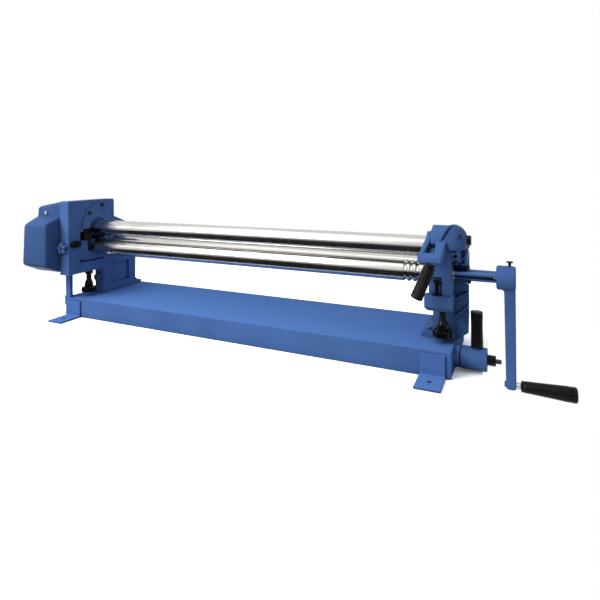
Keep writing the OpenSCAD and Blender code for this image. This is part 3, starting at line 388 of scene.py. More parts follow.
def polish(n, l, shader, scale, smooth, dull):
    # roughness that drifts between two values
    l.new(remap(n, l, noise(n, l, scale, 4), 0.3, 0.7, smooth, dull), shader.inputs["Roughness"])


def corners(n, reach):
    # 1 on open faces, falling towards 0 deep in a corner or a slot
    near = n.new("ShaderNodeAmbientOcclusion")
    near.samples = 6
    near.inputs["Distance"].default_value = reach
    return near.outputs["AO"]


def enamel(name, color, rough, peel, cast):
    # enamel: slow change of tone, painted light that makes upward sheet faces paler, painted shade in corners
    # and slots, peel, a casting's grain
    m, n, l, s = newMaterial(name, color, rough, specular=0.05 if cast > 0 else 0)
    tones = [(0.28, shade(color, 0.86)), (0.5, color), (0.74, shade(color, 1.09))]
    tone = ramp(n, l, noise(n, l, 6, 5), tones)
    # painted light: on sheet paint, faces that point up are made paler, as if lit more from above
    if cast == 0:
        facing, split = n.new("ShaderNodeNewGeometry"), n.new("ShaderNodeSeparateXYZ")
        l.new(facing.outputs["Normal"], split.inputs[0])
        upwardLight = remap(n, l, split.outputs["Z"], 0.7, 1, 0, 1)
        tone = blendColor(n, l, upwardLight, tone, shade(color, 1.42))
    # painted shade: the colour darkens to a third of itself in corners, recesses and slots found by ambient
    # occlusion
    close = remap(n, l, corners(n, 0.012), 0.2, 0.7, 1, 0)
    deep = remap(n, l, corners(n, 0.06), 0.05, 0.6, 1, 0)
    cornerShadedTone = blendColor(n, l, deep, tone, shade(color, 0.3))
    l.new(blendColor(n, l, close, cornerShadedTone, shade(color, 0.3)), s.inputs["Base Color"])
    polish(n, l, s, 30, rough - 0.06, rough + 0.08)
    first = bump(n, l, s, noise(n, l, 700, 2), peel)
    if cast > 0:
        second = bump(n, l, s, noise(n, l, 130, 4, rough=0.6), cast, after=first)
        bump(n, l, s, noise(n, l, 28, 3), cast * 3, after=second)
    return m


def steel(name, color, rough, marks, stretch, metal=1, specular=0.5):
    # ground or turned steel: fine marks round the axis, uneven polish and a film of oil
    m, n, l, s = newMaterial(name, color, rough, metal, specular)
    fine = noise(n, l, 1, 6, stretch, 0.7)
    tone = ramp(n, l, fine, [(0.25, shade(color, 0.86)), (0.75, shade(color, 1.08))])
    film = remap(n, l, noise(n, l, 7, 4, (0.35, 1, 1)), 0.42, 0.72, 0, 0.35)
    oily = tuple(c * k for c, k in zip(color, (0.86, 0.80, 0.70)))
    l.new(blendColor(n, l, film, tone, oily), s.inputs["Base Color"])
    polish(n, l, s, 9, max(0.04, rough - 0.05), rough + 0.07)
    bump(n, l, s, fine, marks)
    return m


def moulded(name, color, rough, grain, specular):
    # moulded plastic or rubber: fine grain, handled places a little smoother
    m, n, l, s = newMaterial(name, color, rough, specular=specular)
    tone = ramp(n, l, noise(n, l, 60, 4), [(0.3, shade(color, 0.7)), (0.7, shade(color, 1.5))])
    l.new(tone, s.inputs["Base Color"])
    polish(n, l, s, 40, rough - 0.08, rough + 0.1)
    bump(n, l, s, noise(n, l, 1500, 2), grain)
    return m


paintTone = {
    "sheet": (0.078, 0.168, 0.424), "cast": (0.065, 0.143, 0.364), "guard": (0.042, 0.092, 0.240),
    "rough": 0.48,
}
finishes = {
    "blue_sheet": enamel("sheetPaint", paintTone["sheet"], paintTone["rough"], 0.00002, 0),
    "blue_casting": enamel("castPaint", paintTone["cast"], paintTone["rough"] + 0.02, 0.00003, 0.00025),
    "roll_steel": steel("rollSteel", (0.62, 0.61, 0.59), 0.17, 0.000003, (1400, 2, 2)),
    "bright_steel": steel("boltSteel", (0.56, 0.56, 0.56), 0.26, 0.00001, (60, 60, 60)),
    "dark_steel": steel("darkSteel", (0.055, 0.058, 0.068), 0.24, 0.00001, (300, 30, 30)),
    "black_steel": steel("blackSteel", (0.010, 0.011, 0.013), 0.3, 0.00002, (80, 80, 80), 0.5, 0.2),
    "gear_iron": steel("gearIron", (0.16, 0.16, 0.165), 0.4, 0.00003, (120, 120, 120)),
    "bronze": steel("bronze", (0.42, 0.27, 0.12), 0.32, 0.00001, (200, 40, 40)),
    "black_plastic": moulded("blackPlastic", (0.003, 0.0038, 0.0048), 0.22, 0.000006, 0.13),
    "black_rubber": moulded("gripRubber", (0.0045, 0.0045, 0.005), 0.34, 0.00002, 0.2),
}
# painted shade: a darker copy of the blue paint, used on the gear guard and on the release cap's outboard end
shadedPaint = enamel("shadedPaint", paintTone["guard"], paintTone["rough"], 0.00002, 0.00012)
bluedSteel = steel("bluedSteel", (0.062, 0.128, 0.30), 0.30, 0.000004, (30, 300, 300))
for node, slotName in slotOf.items():
    nodes[node].data.materials.clear()
    nodes[node].data.materials.append(finishes[slotName])
print("materials made")


# Castings and folded parts: the CAD forms with worked edges, radius in millimetres
softEdges = {
    "base_channel": 3.5, "left_end_plate": 1.2, "right_end_plate": 1.6, "foot_angles": 1.8,
    "left_housing": 3, "right_housing": 3, "keeper_plate": 2, "guard_strap": 1.6,
    "left_lower_block": 2, "right_lower_block": 2, "rear_blocks": 1.5,
    "lift_lever": 4, "head_plug": 2, "guard_bracket": 1.2, "rockers": 1.5,
}
for node, radius in softEdges.items():
    softCopy(node, radius)
wing = {
    "out": 727.5, "y0": -54, "y1": 151, "before": 13, "front": 1.22, "back": 0.45,
    "z": 200, "lower": 0.50,
}


def narrowWing():
    # the wing keeps its topology: it widens at the front, narrows behind and ends lower, as it is seen
    mesh = bpy.data.objects["right_housingWorked"].data
    p = np.zeros(len(mesh.vertices) * 3)
    mesh.vertices.foreach_get("co", p)
    p = p.reshape(-1, 3) / mm
    out = (p[:, 0] > wing["out"]) & (p[:, 1] > wing["y0"] - wing["before"])
    t = np.clip((p[:, 1] - wing["y0"]) / (wing["y1"] - wing["y0"]), 0, 1)
    k = wing["front"] + (wing["back"] - wing["front"]) * t
    x = wing["out"] + (p[:, 0] - wing["out"]) * k
    z = np.where(p[:, 2] > wing["z"], wing["z"] + (p[:, 2] - wing["z"]) * wing["lower"], p[:, 2])
    p[:, 0], p[:, 2] = np.where(out, x, p[:, 0]), np.where(out, z, p[:, 2])
    mesh.vertices.foreach_set("co", (p * mm).ravel())
    mesh.update()


narrowWing()
print("soft edged pieces made")

# Rolls
rollShape = {
    "steps": 144, "rim": 1.5, "groove": 4.5, "grooveFirst": 630.5, "groovePitch": 17, "grooves": 3,
    "stub": [(730, 8), (730, 11), (800, 11), (801, 10), (801, 6)],
}


def rollProfile(grooved):
    # (x, radius) pairs of the barrel from rim to rim, with half round wire grooves near its right end
    x0, x1, r = pick(place, "rollX0 rollX1 rollR")
    left, right = np.split(rimmed(x0, x1, r, r, rollShape["rim"])[1:-1], 2)
    middle = [np.stack([np.linspace(x0 + 20, x1 - 110, 9), np.full(9, r)], 1)]
    if grooved:
        for i in reversed(range(rollShape["grooves"])):
            b = np.linspace(np.pi, 0, 11)
            g = rollShape["groove"]
            centre = rollShape["grooveFirst"] - i * rollShape["groovePitch"]
            lip = np.stack([centre + g * np.cos(b), r - g * np.sin(b)], 1)
            lip[[0, -1], 0] += [-0.6, 0.6]
            middle.append(lip)
    return np.concatenate([left, *middle, right])


def barRoll(name, node, y, z, grooved, ends):
    # barrel and both journals as one turned surface; the lower roll has a stub for the crank's shaft
    jr = place["rearJournalR" if node == "rear_roll" else "journalR"]
    x0, x1 = ends
    neck = [[x0, jr - 4], [x0, jr - 1], [x0 + 1, jr], [place["rollX0"], jr]]
    tail = [[place["rollX1"], jr], [x1 - 1, jr], [x1, jr - 1], [x1, jr - 4]]
    profile = np.concatenate([neck, rollProfile(grooved), tail])
    parts = [turned(profile, rollShape["steps"], "x", (0, y, z))]
    if node == "lower_roll":
        parts.append(turned(rollShape["stub"], 48, "x", (0, y, z)))
    standIn(name, node, parts, 30)


barRoll("topRollBar", "top_roll", rollY, topZ, False, (-724, 745))
barRoll("lowerRollBar", "lower_roll", rollY, place["lowZ"], True, (-724, 731))
barRoll("rearRollBar", "rear_roll", place["rearY"], place["rearZ"], False, (-682.2, 725.5))
print("rolls made")

# Gear guard: a pressed shell with round corners, open only where it lies on the housing
guard = {
    "x0": -819, "x1": -684, "wall": 3.2, "corner": 18, "rim": 16, "wallRim": 9, "slope": 0.17,
    "reach": -194, "front": -133, "swellLow": 205, "swellHigh": 375, "neck": 392,
    "top": 450, "back": 87, "low": 182, "sinks": [(4, -20), (4, -4), (8, -8), (0, -8)], "sinkLean": 1.1,
}


def guardShell():
    # the outline is carried along X; towards each end the rings move inward along a quarter circle, and at
    # the outer end the swell's top, the neck and the two upper corners sink further by the guard's sinks
    x0, x1, c, rim, wallRim = pick(guard, "x0 x1 corner rim wallRim")
    reach, front, neckZ, top, back, bottom = pick(guard, "reach front neck top back low")
    low = arcPoints(reach + c, guard["swellLow"] + c, c, 242, 180, 8)
    high = arcPoints(reach + c, guard["swellHigh"] - c, c, 180, 112, 8)
    upright = [arcPoints(front + c, top - c, c, 180, 90, 6), arcPoints(back - c, top - c, c, 90, 0, 6),
               arcPoints(back - c, bottom + c, c, 0, -90, 6)]
    loop = np.concatenate([[[front, bottom]], low, high, [[front, neckZ]], *upright]) + [rollY, 0]
    swell = 1 + len(low) + len(high) + 1
    sink = np.zeros((len(loop), 2))
    stretches = (1 + len(low), swell - 1, swell, swell + 6, swell + 12)
    for start, end, down in zip(stretches, stretches[1:], guard["sinks"]):
        sink[start:end] = down
    rings = []
    for c, s in quarter(7):
        x = x0 + (rim + np.maximum(-sink[:, 1], 0) * guard["sinkLean"]) * c
        rings.append(np.column_stack([x, insetLoop(loop, rim * s) + sink * s]))
    for c, s in quarter(7)[::-1]:
        ring = np.concatenate([insetLoop(loop[:swell], wallRim * s), loop[swell:]])
        ring[[0, swell - 1], 0] = front + rollY
        rings.append(np.column_stack([np.full(len(loop), x1 - wallRim * c), ring]))
    rings = np.array(rings)
    rise = np.clip((rings[..., 2] - neckZ) / (top - neckZ), 0, 1)
    rings[..., 2] -= guard["slope"] * rise * (x1 - rings[..., 0])
    rows, cols = rings.shape[:2]
    faces = gridFaces(rows, cols)
    faces.append(list(range(cols))[::-1])
    faces.append([(rows - 1) * cols + i for i in range(swell)])
    # the gear guard takes the darker copy of the paint: painted shade
    piece = standIn("guardShell", "gear_guard", [(rings.reshape(-1, 3), faces)], 40, finish=shadedPaint)
    wall = piece.modifiers.new("sheet", "SOLIDIFY")
    wall.thickness = guard["wall"] * mm
    wall.offset = -1


guardShell()
print("gear guard made")

# Lobed knobs: lobes below, a smaller lobed hub on them and a cone up to the screw
knob = {
    "base": 87, "lobeTop": 107, "hubTop": 123, "coneTop": 133, "core": 20, "lobeR": 10,
    "lobeAt": 18, "lobes": 6, "hubR": 16, "neckR": 12, "edge": 4, "dish": 3,
}


def lobedKnob(name, node, at):
    # radius by angle is the outer edge of a ring of circles; it shrinks near the top and bottom edges
    k = knob
    step = 2 * np.pi / k["lobes"]

    def star(t, along, r):
        away = np.abs((t + step / 2) % step - step / 2)
        reach = k["lobeAt"] * np.cos(away) + np.sqrt(np.maximum(
            k["lobeR"] ** 2 - (k["lobeAt"] * np.sin(away)) ** 2, 0))
        return np.maximum(reach, k["core"]) / (k["lobeAt"] + k["lobeR"]) * r

    def hub(t, along, r):
        return r * (1 - 0.045 * (1 - np.cos(t * k["lobes"])) * (along < k["hubTop"] - 1))

    base, top, hubTop, cone, hubR, neckR = pick(k, "base lobeTop hubTop coneTop hubR neckR")
    full, dish = k["lobeAt"] + k["lobeR"], base + k["dish"]
    rim = rimmed(base, top, full, full, k["edge"], 5)[1:-1]
    lobes = [(dish, 6), (dish, 13), (base, 17), *rim, (top, 14)]
    tier = [(top - 2, hubR), (top + 2, hubR), (hubTop - 3, hubR), (hubTop - 1, hubR - 0.6),
            (hubTop, hubR - 1.8), (cone - 1.5, neckR + 0.6), (cone, neckR - 0.8), (cone, 10)]
    at = (*at, 0)
    standIn(name, node, [turned(lobes, 108, "z", at, star), turned(tier, 108, "z", at, hub)], 40)


lobedKnob("leftKnobStar", "left_knob", place["leftScrew"])
lobedKnob("rightKnobStar", "right_knob", place["rightScrew"])
screw = {"r": 10, "z0": 91, "z1": 229, "pitch": 3, "depth": 0.9, "fade": 4}


# Adjusting screws: a bar with a rolled thread between its plain ends
def threadedBar(name, node, at):
    # the radius falls and rises along the bar as the thread turns round it
    r, z0, z1, pitch = pick(screw, "r z0 z1 pitch")

    def thread(t, along, radius):
        wave = np.abs((along / pitch - t / (2 * np.pi)) % 1 - 0.5) * 2
        return radius - screw["depth"] * wave * fadeIn(along, z0, z1, screw["fade"])
    z = np.linspace(z0, z1, int((z1 - z0) / pitch * 6))
    prof = [(z0, r - 4), (z0, r - 1)] + [(v, r) for v in z[1:-1]] + [(z1, r - 1), (z1, r - 4)]
    standIn(name, node, [turned(prof, 32, "z", (*at, 0), thread)], 60)


threadedBar("leftScrewBar", "left_adjusting_screw", place["leftScrew"])
threadedBar("rightScrewBar", "right_adjusting_screw", place["rightScrew"])
print("knobs and screws made")

# Ribbed hand grips
grip = {"r": 16, "ribs": 12, "depth": 1.5, "edge": 4, "rows": 22, "waist": 0.72, "plain": 7, "fade": 5}


def ribbedGrip(length):
    # drawn up from the origin: flutes run along it and fade out before its ends; its middle is slimmer
    g = grip
    s = np.linspace(0, 1, g["rows"])
    z = length * s
    envelope = np.minimum(1, np.minimum(z, length - z) / g["edge"])
    r = g["r"] - g["waist"] * np.sin(np.pi * np.clip(s * 1.1 - 0.05, 0, 1)) ** 2
    r = r - g["edge"] * (1 - np.sqrt(1 - (1 - envelope) ** 2))
    z[1], z[-2] = g["edge"] * 0.35, length - g["edge"] * 0.35

    def flutes(t, along, radius):
        fade = fadeIn(along, g["plain"], length - g["plain"], g["fade"])
        return radius - g["depth"] * fade * np.clip(np.cos(t * g["ribs"]) - 0.2, 0, 1) / 0.8
    prof = np.concatenate([[[0, 5]], np.stack([z, r], 1), [[length, 5]]])
    return turned(prof, 144, "z", (0, 0, 0), flutes)


def turnedBy(points, xTurn, yTurn, to):
    # turned about X, then about Y, then moved
    a, b = math.radians(xTurn), math.radians(yTurn)
    rx = np.array([[1, 0, 0], [0, math.cos(a), -math.sin(a)], [0, math.sin(a), math.cos(a)]])
    ry = np.array([[math.cos(b), 0, math.sin(b)], [0, 1, 0], [-math.sin(b), 0, math.cos(b)]])
    return np.asarray(points) @ (ry @ rx).T + np.asarray(to, float)


release = {"at": (688, -198, 320), "fore": -9, "side": 22, "drop": 20, "length": 90}


def releaseHandle():
    where = (release["fore"], release["side"], release["at"])
    points, faces = ribbedGrip(release["length"])
    points = points + [0, 0, -release["drop"] - release["length"]]
    standIn("releaseGripRibbed", "release_grip", [(turnedBy(points, *where), faces)], 50)
    collar = turned([(-20, 6), (-20, 11), (-19, 12), (-12.5, 12), (-11.2, 11), (-11, 7)], 48, "z")
    pin = turned([(-101, 4), (-101, 6.5), (-100, 7), (7, 7), (8, 6), (8, 3)], 36, "z")
    standIn("releasePinTurned", "release_pin", [(turnedBy(p, *where), f) for p, f in (collar, pin)],
            slotName="black_steel")


releaseHandle()

# Release cap: half barrel, bevelled inboard, rounded outboard and darkened there with painted shade, with an
# A-shaped nose lever
cap = {
    "x0": 667, "x1": 764, "r": 64, "bore": 21.4, "bevel": 18, "shoulderX": 729, "endR": 24,
    "wall": 17, "shade": 703, "back": -54, "noseX": (652, 712), "hingeX": (683.3, 726.7),
    "plugX": (756, 774), "plugZ": 361, "plugAcross": 28,
}
# the rib over the cap's top: a pair holds the value at its front end and the change towards the rear
rib = {
    "turn": (78, -64), "x0": (676, -2), "x1": (733, -34), "root": 6, "rise": 6.5, "fall": 8.5,
    "fallFrom": 0.55,
}
# Y, X and Z of three sections of the black prism painted as the shadow of a leg's wall in the nose's pocket,
# and its size
pocketShadow = {
    "at": ((-158, 673.5, 343), (-178, 668.5, 334), (-198, 663.5, 323.5)), "wide": 5.5, "up": 1.5, "down": 6,
}


def halfBarrel():
    # the section in (x, radius) swept over the top from the front split to the back, then cut off upright
    x0, x1, r, bore, bevel = pick(cap, "x0 x1 r bore bevel")
    shoulderX, endR, wallX = cap["shoulderX"], cap["endR"], x1 - cap["wall"]
    inner = roundedCorners([(x0, bore), (x0, r - bevel), (x0 + bevel, r)], [1, 4, 6], 4)
    v = np.radians(np.linspace(8, 90, 12))
    shoulder = np.stack([shoulderX + (x1 - shoulderX) * np.sin(v) ** 1.15,
                         endR + (r - endR) * np.cos(v) ** 0.92], 1)
    crest = [(shoulderX - 1.5, r), (shoulderX + 0.6, r - 0.5)]
    prof = np.concatenate([inner, crest, shoulder, [(x1, 3), (wallX, 3), (wallX, bore)]])
    lift = math.degrees(math.asin(0.5 / r))
    t = np.radians(np.linspace(180 - lift, lift, 73))
    zUp = np.maximum(prof[:, 1] * np.sin(t)[:, None], 0.5)
    y = np.minimum(rollY + prof[:, 1] * np.cos(t)[:, None], cap["back"])
    return loft(np.stack([np.broadcast_to(prof[:, 0], y.shape), y, topZ + zUp], -1))


def noseLever():
    # an A frame: two legs that spread from the barrel to the tip bar, round a sunk pocket
    x0, x1 = cap["noseX"]
    floor = [(-152, 345), (-152, 341), (-207, 317), (-219, 317), (-219, 320), (-205, 320)]
    parts = [carried(roundedCorners(floor, 1.5), x0 + 4, x1 - 4, 1.5)]
    bar = roundedCorners([(-221, 316), (-221, 330), (-214, 334.5), (-200, 339.5), (-197, 335), (-199, 316)],
                         [3, 4, 4, 3, 2, 2])
    parts.append(carried(bar, x0, x1, 3.5, "x", 4))
    top = [(-118, 386), (-134, 369), (-160, 358), (-200, 341), (-219, 333)]
    low = [(-118, 341), (-134, 341), (-152, 341), (-199, 317), (-219, 316)]
    s, at = np.linspace(0, 1, 14), np.linspace(0, 1, 5)
    (ty, tz), (ly, lz) = [[np.interp(s, at, axis) for axis in zip(*line)] for line in (top, low)]
    for xa0, xa1, xb0, xb1 in ((661, 679, x0 + 0.5, x0 + 11), (682, 719, x1 - 15, x1 - 0.5)):
        rings = []
        for i in range(len(s)):
            xl, xr = xa0 + (xb0 - xa0) * s[i], xa1 + (xb1 - xa1) * s[i]
            section = [(xl, lz[i]), (xr, lz[i]), (xr, tz[i]), (xl, tz[i])]
            x, z = roundedCorners(section, [0.5, 0.5, 3.2, 3.2], 4).T
            rings.append(np.column_stack([x, ly[i] + (ty[i] - ly[i]) * (z - lz[i]) / (tz[i] - lz[i]), z]))
        parts.append(loft(rings))
    return parts


oilSeat = {"at": (748.8, -131.9, 376.4), "out": (0.62, -0.60, 0.50), "long": 1.7}


def ringOn(seat, r0, r1, h):
    # a low ring round an axis that leans: five circles, out over the rim and back inside
    out = np.array(seat["out"]) / np.linalg.norm(seat["out"])
    u = np.cross(out, (0, 0, 1))
    u /= np.linalg.norm(u)
    v = np.cross(out, u)
    t = np.arange(36) * 2 * np.pi / 36
    circle = u * seat["long"] * np.cos(t)[:, None] + v * np.sin(t)[:, None]
    steps = ((r1, -4), (r1, h * 0.5), ((r0 + r1) / 2, h), (r0, h * 0.6), (r0, -4))
    return np.concatenate([np.array(seat["at"]) + circle * r + out * up for r, up in steps])


def capRib():
    # a rounded section of the barrel's wall, lofted over the top: it rises, then falls and narrows
    rings = []
    for s in np.linspace(0, 1, 12):
        turn = math.radians(rib["turn"][0] + rib["turn"][1] * s)
        fall = rib["fall"] * max(0, s - rib["fallFrom"]) / (1 - rib["fallFrom"])
        low, r = cap["r"] - rib["root"], cap["r"] + rib["rise"] * min(1, s * 4) - fall
        x0, x1 = rib["x0"][0] + rib["x0"][1] * s, rib["x1"][0] + rib["x1"][1] * s ** 0.8
        loop = roundedCorners([(x0, low), (x1, low), (x1, r), (x0, r)], [0.3, 0.3, 3, 3], 3)
        rings.append(np.column_stack([loop[:, 0], rollY - loop[:, 1] * math.cos(turn),
                                      topZ + loop[:, 1] * math.sin(turn)]))
    return loft(rings)


def releaseCap():
    # barrel, nose, rib, hinge knuckle, the boss of the release pin and the rim of the oil hole in one piece
    k = cap
    parts = [halfBarrel(), *noseLever(), capRib()]
    parts.append(turned(rimmed(*k["hingeX"], 12, 12, 1), 60, "x", place["hinge"]))
    knuckle = roundedCorners([(-68, 341), (-42, 341), (-42, 350), (-52, 352), (-60, 362), (-68, 362)], 1, 2)
    parts.append(carried(knuckle, *k["hingeX"], 1))
    boss = turned([(-11, 7.2), (-11, 13.6), (-10, 15), (6, 15), (6, 8)], 48, "z")
    parts.append((turnedBy(boss[0], release["fore"], release["side"], release["at"]), boss[1]))
    parts.append((ringOn(oilSeat, 3.6, 6.2, 2.6), gridFaces(5, 36)))
    piece = standIn("releaseCapCast", "release_cap", parts, 32)
    # painted shade: the barrel's faces outboard of the shade mark take the darker paint, as faces turned away
    # from the light
    piece.data.materials.append(shadedPaint)
    for face in piece.data.polygons:
        x, y, z = face.center / mm
        radius = math.hypot(y - rollY, z - topZ)
        if x > k["shade"] and radius < k["r"] + 0.6 and y < k["back"] - 1 and z > topZ + 1:
            face.material_index = 1
    # painted shadow: a black prism on the pocket's floor along the left leg, where the leg's wall throws
    # shade
    c = pocketShadow
    slot = []
    for y, x, z in c["at"]:
        low, high, side = z - c["down"], z + c["up"], x + c["wide"]
        loop = roundedCorners([(x, low), (side, low), (side, high), (x, high)], 0.5, 2)
        slot.append(np.column_stack([loop[:, 0], np.full(len(loop), y), loop[:, 1]]))
    detail("nosePocketShadow", "release_cap", [loft(slot)], "black_steel")
    plug = hexHead(k["plugAcross"], *k["plugX"], 2, "x", (0, rollY, k["plugZ"]))
    detail("capPlug", "release_cap", [plug], "black_steel", 30)
    # painted shade: a black disc inside the rim stands for the oil hole's shaded inside
    floor = ringOn(oilSeat, 0.4, 4, 1.3).reshape(5, 36, 3)[:3]
    detail("oilHoleShade", "release_cap", [loft(floor)], "black_steel")


releaseCap()

# Lattice outboard of the right housing: crossing bars over sunk slots whose floors are painted black as
# shade, on a drum and a saddle's end
lattice = {
    "drum": {
        "x": (727.3, 764.4), "y": -66, "z": 304, "barR": 36.5, "floorR": 32.4, "rim": 5, "pitch": 18,
        "rows": 3, "lean": 0.5, "low": 0, "high": 339.4},
    "saddle": {
        "x": (727.3, 747.5), "y": -88, "z": 340, "barR": 51, "floorR": 48.3, "rim": 3, "pitch": 19,
        "rows": 1, "lean": 0.35, "low": 307, "high": 339.6},
    "columns": 300, "xSteps": 44, "slotX": 1.15, "slotTurn": 1.35, "slotHalf": 0.60, "slotEdge": 9,
    "shaftClear": 18.6, "shaftZ": (262, 278), "nutX": 743, "nutClear": 14.4,
}


def latticeShell(name, d):
    # the radius is a drum's; inside a lozenge in every cell of angle and X it drops to the slot's floor, and
    # the rows are staggered
    (x0, x1), cy, cz, barR, floorR, rim = pick(d, "x y z barR floorR rim")
    slotX, slotTurn, half, sharp = pick(lattice, "slotX slotTurn slotHalf slotEdge")
    rimX = x1 - rim
    x = np.concatenate([np.linspace(x0, rimX, lattice["xSteps"]), x1 - rim * quarter(6)[1:, 1]])
    t = np.arange(lattice["columns"]) * 2 * np.pi / lattice["columns"]
    xx, tt = np.meshgrid(x, t, indexing="ij")
    along = (xx - x0 - 1.5) / (rimX - x0 - 2)
    row = along * d["rows"]
    turns = round(2 * np.pi * barR / d["pitch"])
    around = tt * turns / (2 * np.pi) + 0.5 * (np.floor(row) % 2) + d["lean"] * (row % 1 - 0.5)
    reach = np.abs(row % 1 - 0.5) * slotX + np.abs(around % 1 - 0.5) * slotTurn
    slot = np.clip((half - reach) * sharp, 0, 1) * (along > 0) * (along < 1)
    past = np.clip((xx - rimX) / rim, 0, 1)
    r = barR - (barR - floorR) * slot - rim * (1 - np.sqrt(np.maximum(1 - past ** 2, 0)))

    def clip(radius, y, z, clear):
        # the ray from the drum's middle stops at a round part that it has to stay clear of
        dist, turn = math.hypot(y - cy, z - cz), math.atan2(z - cz, y - cy)
        b = dist * np.cos(tt - turn)
        under = b ** 2 - (dist ** 2 - clear ** 2)
        return np.where((under > 0) & (b > 0), np.minimum(radius, b - np.sqrt(np.maximum(under, 0))), radius)
    for shaftZ in np.linspace(*lattice["shaftZ"], 5):
        r = clip(r, rollY, shaftZ, lattice["shaftClear"])
    r = np.where(xx > lattice["nutX"], clip(r, *place["hinge"][1:], lattice["nutClear"]), r)
    z = np.clip(cz + r * np.sin(tt), d["low"], d["high"])
    skin = loft(np.stack([xx, cy + r * np.cos(tt), z], -1))
    piece = detail(name, "right_housing", [skin], "blue_casting", 50)
    # painted shade: faces on the slots' floors take the black finish, for the shade down in the slots
    piece.data.materials.append(finishes["black_steel"])
    centres = np.zeros(len(piece.data.polygons) * 3)
    piece.data.polygons.foreach_get("center", centres)
    x, y, z = centres.reshape(-1, 3).T / mm
    away = np.hypot(y - cy, z - cz)
    inSlot = (away > floorR - 0.6) & (away < floorR + 0.5) & (x < rimX)
    piece.data.polygons.foreach_set("material_index", inSlot.astype(np.int32))


latticeShell("latticeDrum", lattice["drum"])
latticeShell("latticeSaddle", lattice["saddle"])
print("cap and lattice drum made")

liftHandle = {"at": (786, -80, 68), "length": 99}
points, faces = ribbedGrip(liftHandle["length"])
standIn("liftGripRibbed", "lift_grip", [(points + liftHandle["at"], faces)], 50)

# Crank: hub and flat arm, taper grip, pin, shaft and its two small screws
crank = {
    "y": -88, "z": 266, "handle": (0, -88, -17), "hubX0": 837, "hubX1": 885, "hubR": 32,
    "hubRim": 6, "armX1": 884, "armTopW": 28, "armTipW": 25, "armD": 20, "armTop": 262, "armEnd": -29,
    "armCorner": 3.5, "armRound": 9, "hubRecess": 1.5, "flare": 3, "flareZ": 236, "flareH": 8,
    "beadX": 855, "beadR": 2.6, "beadHalf": 0.324,
}


def crankArm():
    # the arm is a rounded rectangle carried downwards: it flares into the hub, narrows a little towards the
    # handle and ends in a quarter round; a weld bead runs under the hub
    cy, cz, hubX, hubR, armX, armD = pick(crank, "y z hubX1 hubR armX1 armD")
    top, end, rounding, topW = pick(crank, "armTop armEnd armRound armTopW")
    hub = rimmed(crank["hubX0"], hubX, hubR, hubR, crank["hubRim"], 6)[:-1]
    recess = hubX - crank["hubRecess"]
    face = [(hubX, 24), (recess, 22.5), (recess, 17.5)]
    parts = [turned(np.concatenate([hub, face]), 96, "x", (0, cy, cz))]
    z = np.concatenate([np.linspace(top, end + rounding, 18), end + rounding * quarter(5)[1:, 1]])
    rings = []
    taperZ = top - topW
    for v in z:
        wide = topW + (crank["armTipW"] - topW) * np.clip((taperZ - v) / (taperZ - end), 0, 1)
        past = max(end + rounding - v, 0) / rounding
        sink = rounding * (1 - math.sqrt(max(1 - past ** 2, 0))) * 0.6
        flare = crank["flare"] * max(0, 1 - max(0, crank["flareZ"] - v) / crank["flareH"]) ** 2
        y0, y1 = cy - armD / 2 + sink - flare, cy + armD / 2 - sink + flare
        outer, inner = armX - sink, armX - wide + sink - flare
        loop = roundedCorners([(inner, y0), (outer, y0), (outer, y1), (inner, y1)], crank["armCorner"], 4)
        rings.append(np.column_stack([loop, np.full(len(loop), v)]))
    parts.append(loft(rings))
    t = np.linspace(-crank["beadHalf"], crank["beadHalf"], 30)
    reach = hubR + 0.4
    path = np.stack([np.full(30, crank["beadX"]), cy + reach * np.sin(t), cz - reach * np.cos(t)], 1)
    parts.append(beadAlong(path, crank["beadR"], 3))
    standIn("crankArmForged", "crank_arm", parts, 30)


crankArm()

handle = {"x0": 895, "x1": 1025, "r0": 14.5, "r1": 19.5, "round": 6}


def taperGrip():
    # a turned taper handle: beaded neck, long slightly hollow flare, two grooves, domed end
    x0, x1, r0, r1, dome = pick(handle, "x0 x1 r0 r1 round")
    s = np.linspace(0, 1, 18)
    x = x0 + 9 + (x1 - x0 - 30) * s
    r = r0 + 0.2 + (r1 - r0 - 0.2) * s ** 1.15
    neck = [(x0, 9.5), (x0, r0 - 1.8), (x0 + 1.2, r0 - 0.4), (x0 + 5, r0), (x0 + 6.5, r0 - 0.8),
            (x0 + 8, r0 - 0.6)]
    grooves = [(x1 - 20, r1), (x1 - 19, r1 - 1), (x1 - 17.5, r1 - 1), (x1 - 16.5, r1),
               (x1 - 13, r1), (x1 - 12, r1 - 0.9), (x1 - 11, r1)]
    end = [(x1 - dome * s, r1 - dome * c) for c, s in quarter(7)]
    prof = [*neck, *zip(x, r), *grooves, *end, (x1 - 0.6, 8), (x1 - 1.6, 6), (x1 - 1.8, 2)]
    standIn("crankGripTurned", "crank_grip", [turned(prof, 96, "x", crank["handle"])], 40)


taperGrip()
pinProfile = [(858.5, 3), (858.5, 5), (859.5, 6), (884, 6), (884, 9), (885, 9), (893.6, 9), (894.7, 8),
              (894.7, 6), (1015, 6), (1015, 3)]
standIn("handlePinTurned", "handle_pin", [turned(pinProfile, 48, "x", crank["handle"])], 30)
detail("handlePinNut", "handle_pin", [hexHead(17, 859, 855, 1.2, "x", crank["handle"])],
       "blue_casting", 30)
shaftProfile = [(731, 11), (731, 14.8), (732.2, 16), (883.4, 16), (884.6, 15), (884.6, 4)]
standIn("crankShaftBar", "crank_shaft", [turned(shaftProfile, 72, "x", (0, crank["y"], crank["z"]))],
        finish=bluedSteel)
keyOutline = roundedCorners([(829.5, 262.5), (836.6, 261.5), (836.6, 268.5), (831.5, 268.5)], 1.4, 3)
detail("shaftKey", "crank_shaft", [carried(keyOutline, crank["y"] - 17.2, crank["y"] - 13.5, 0.6, "y")],
       "bright_steel")


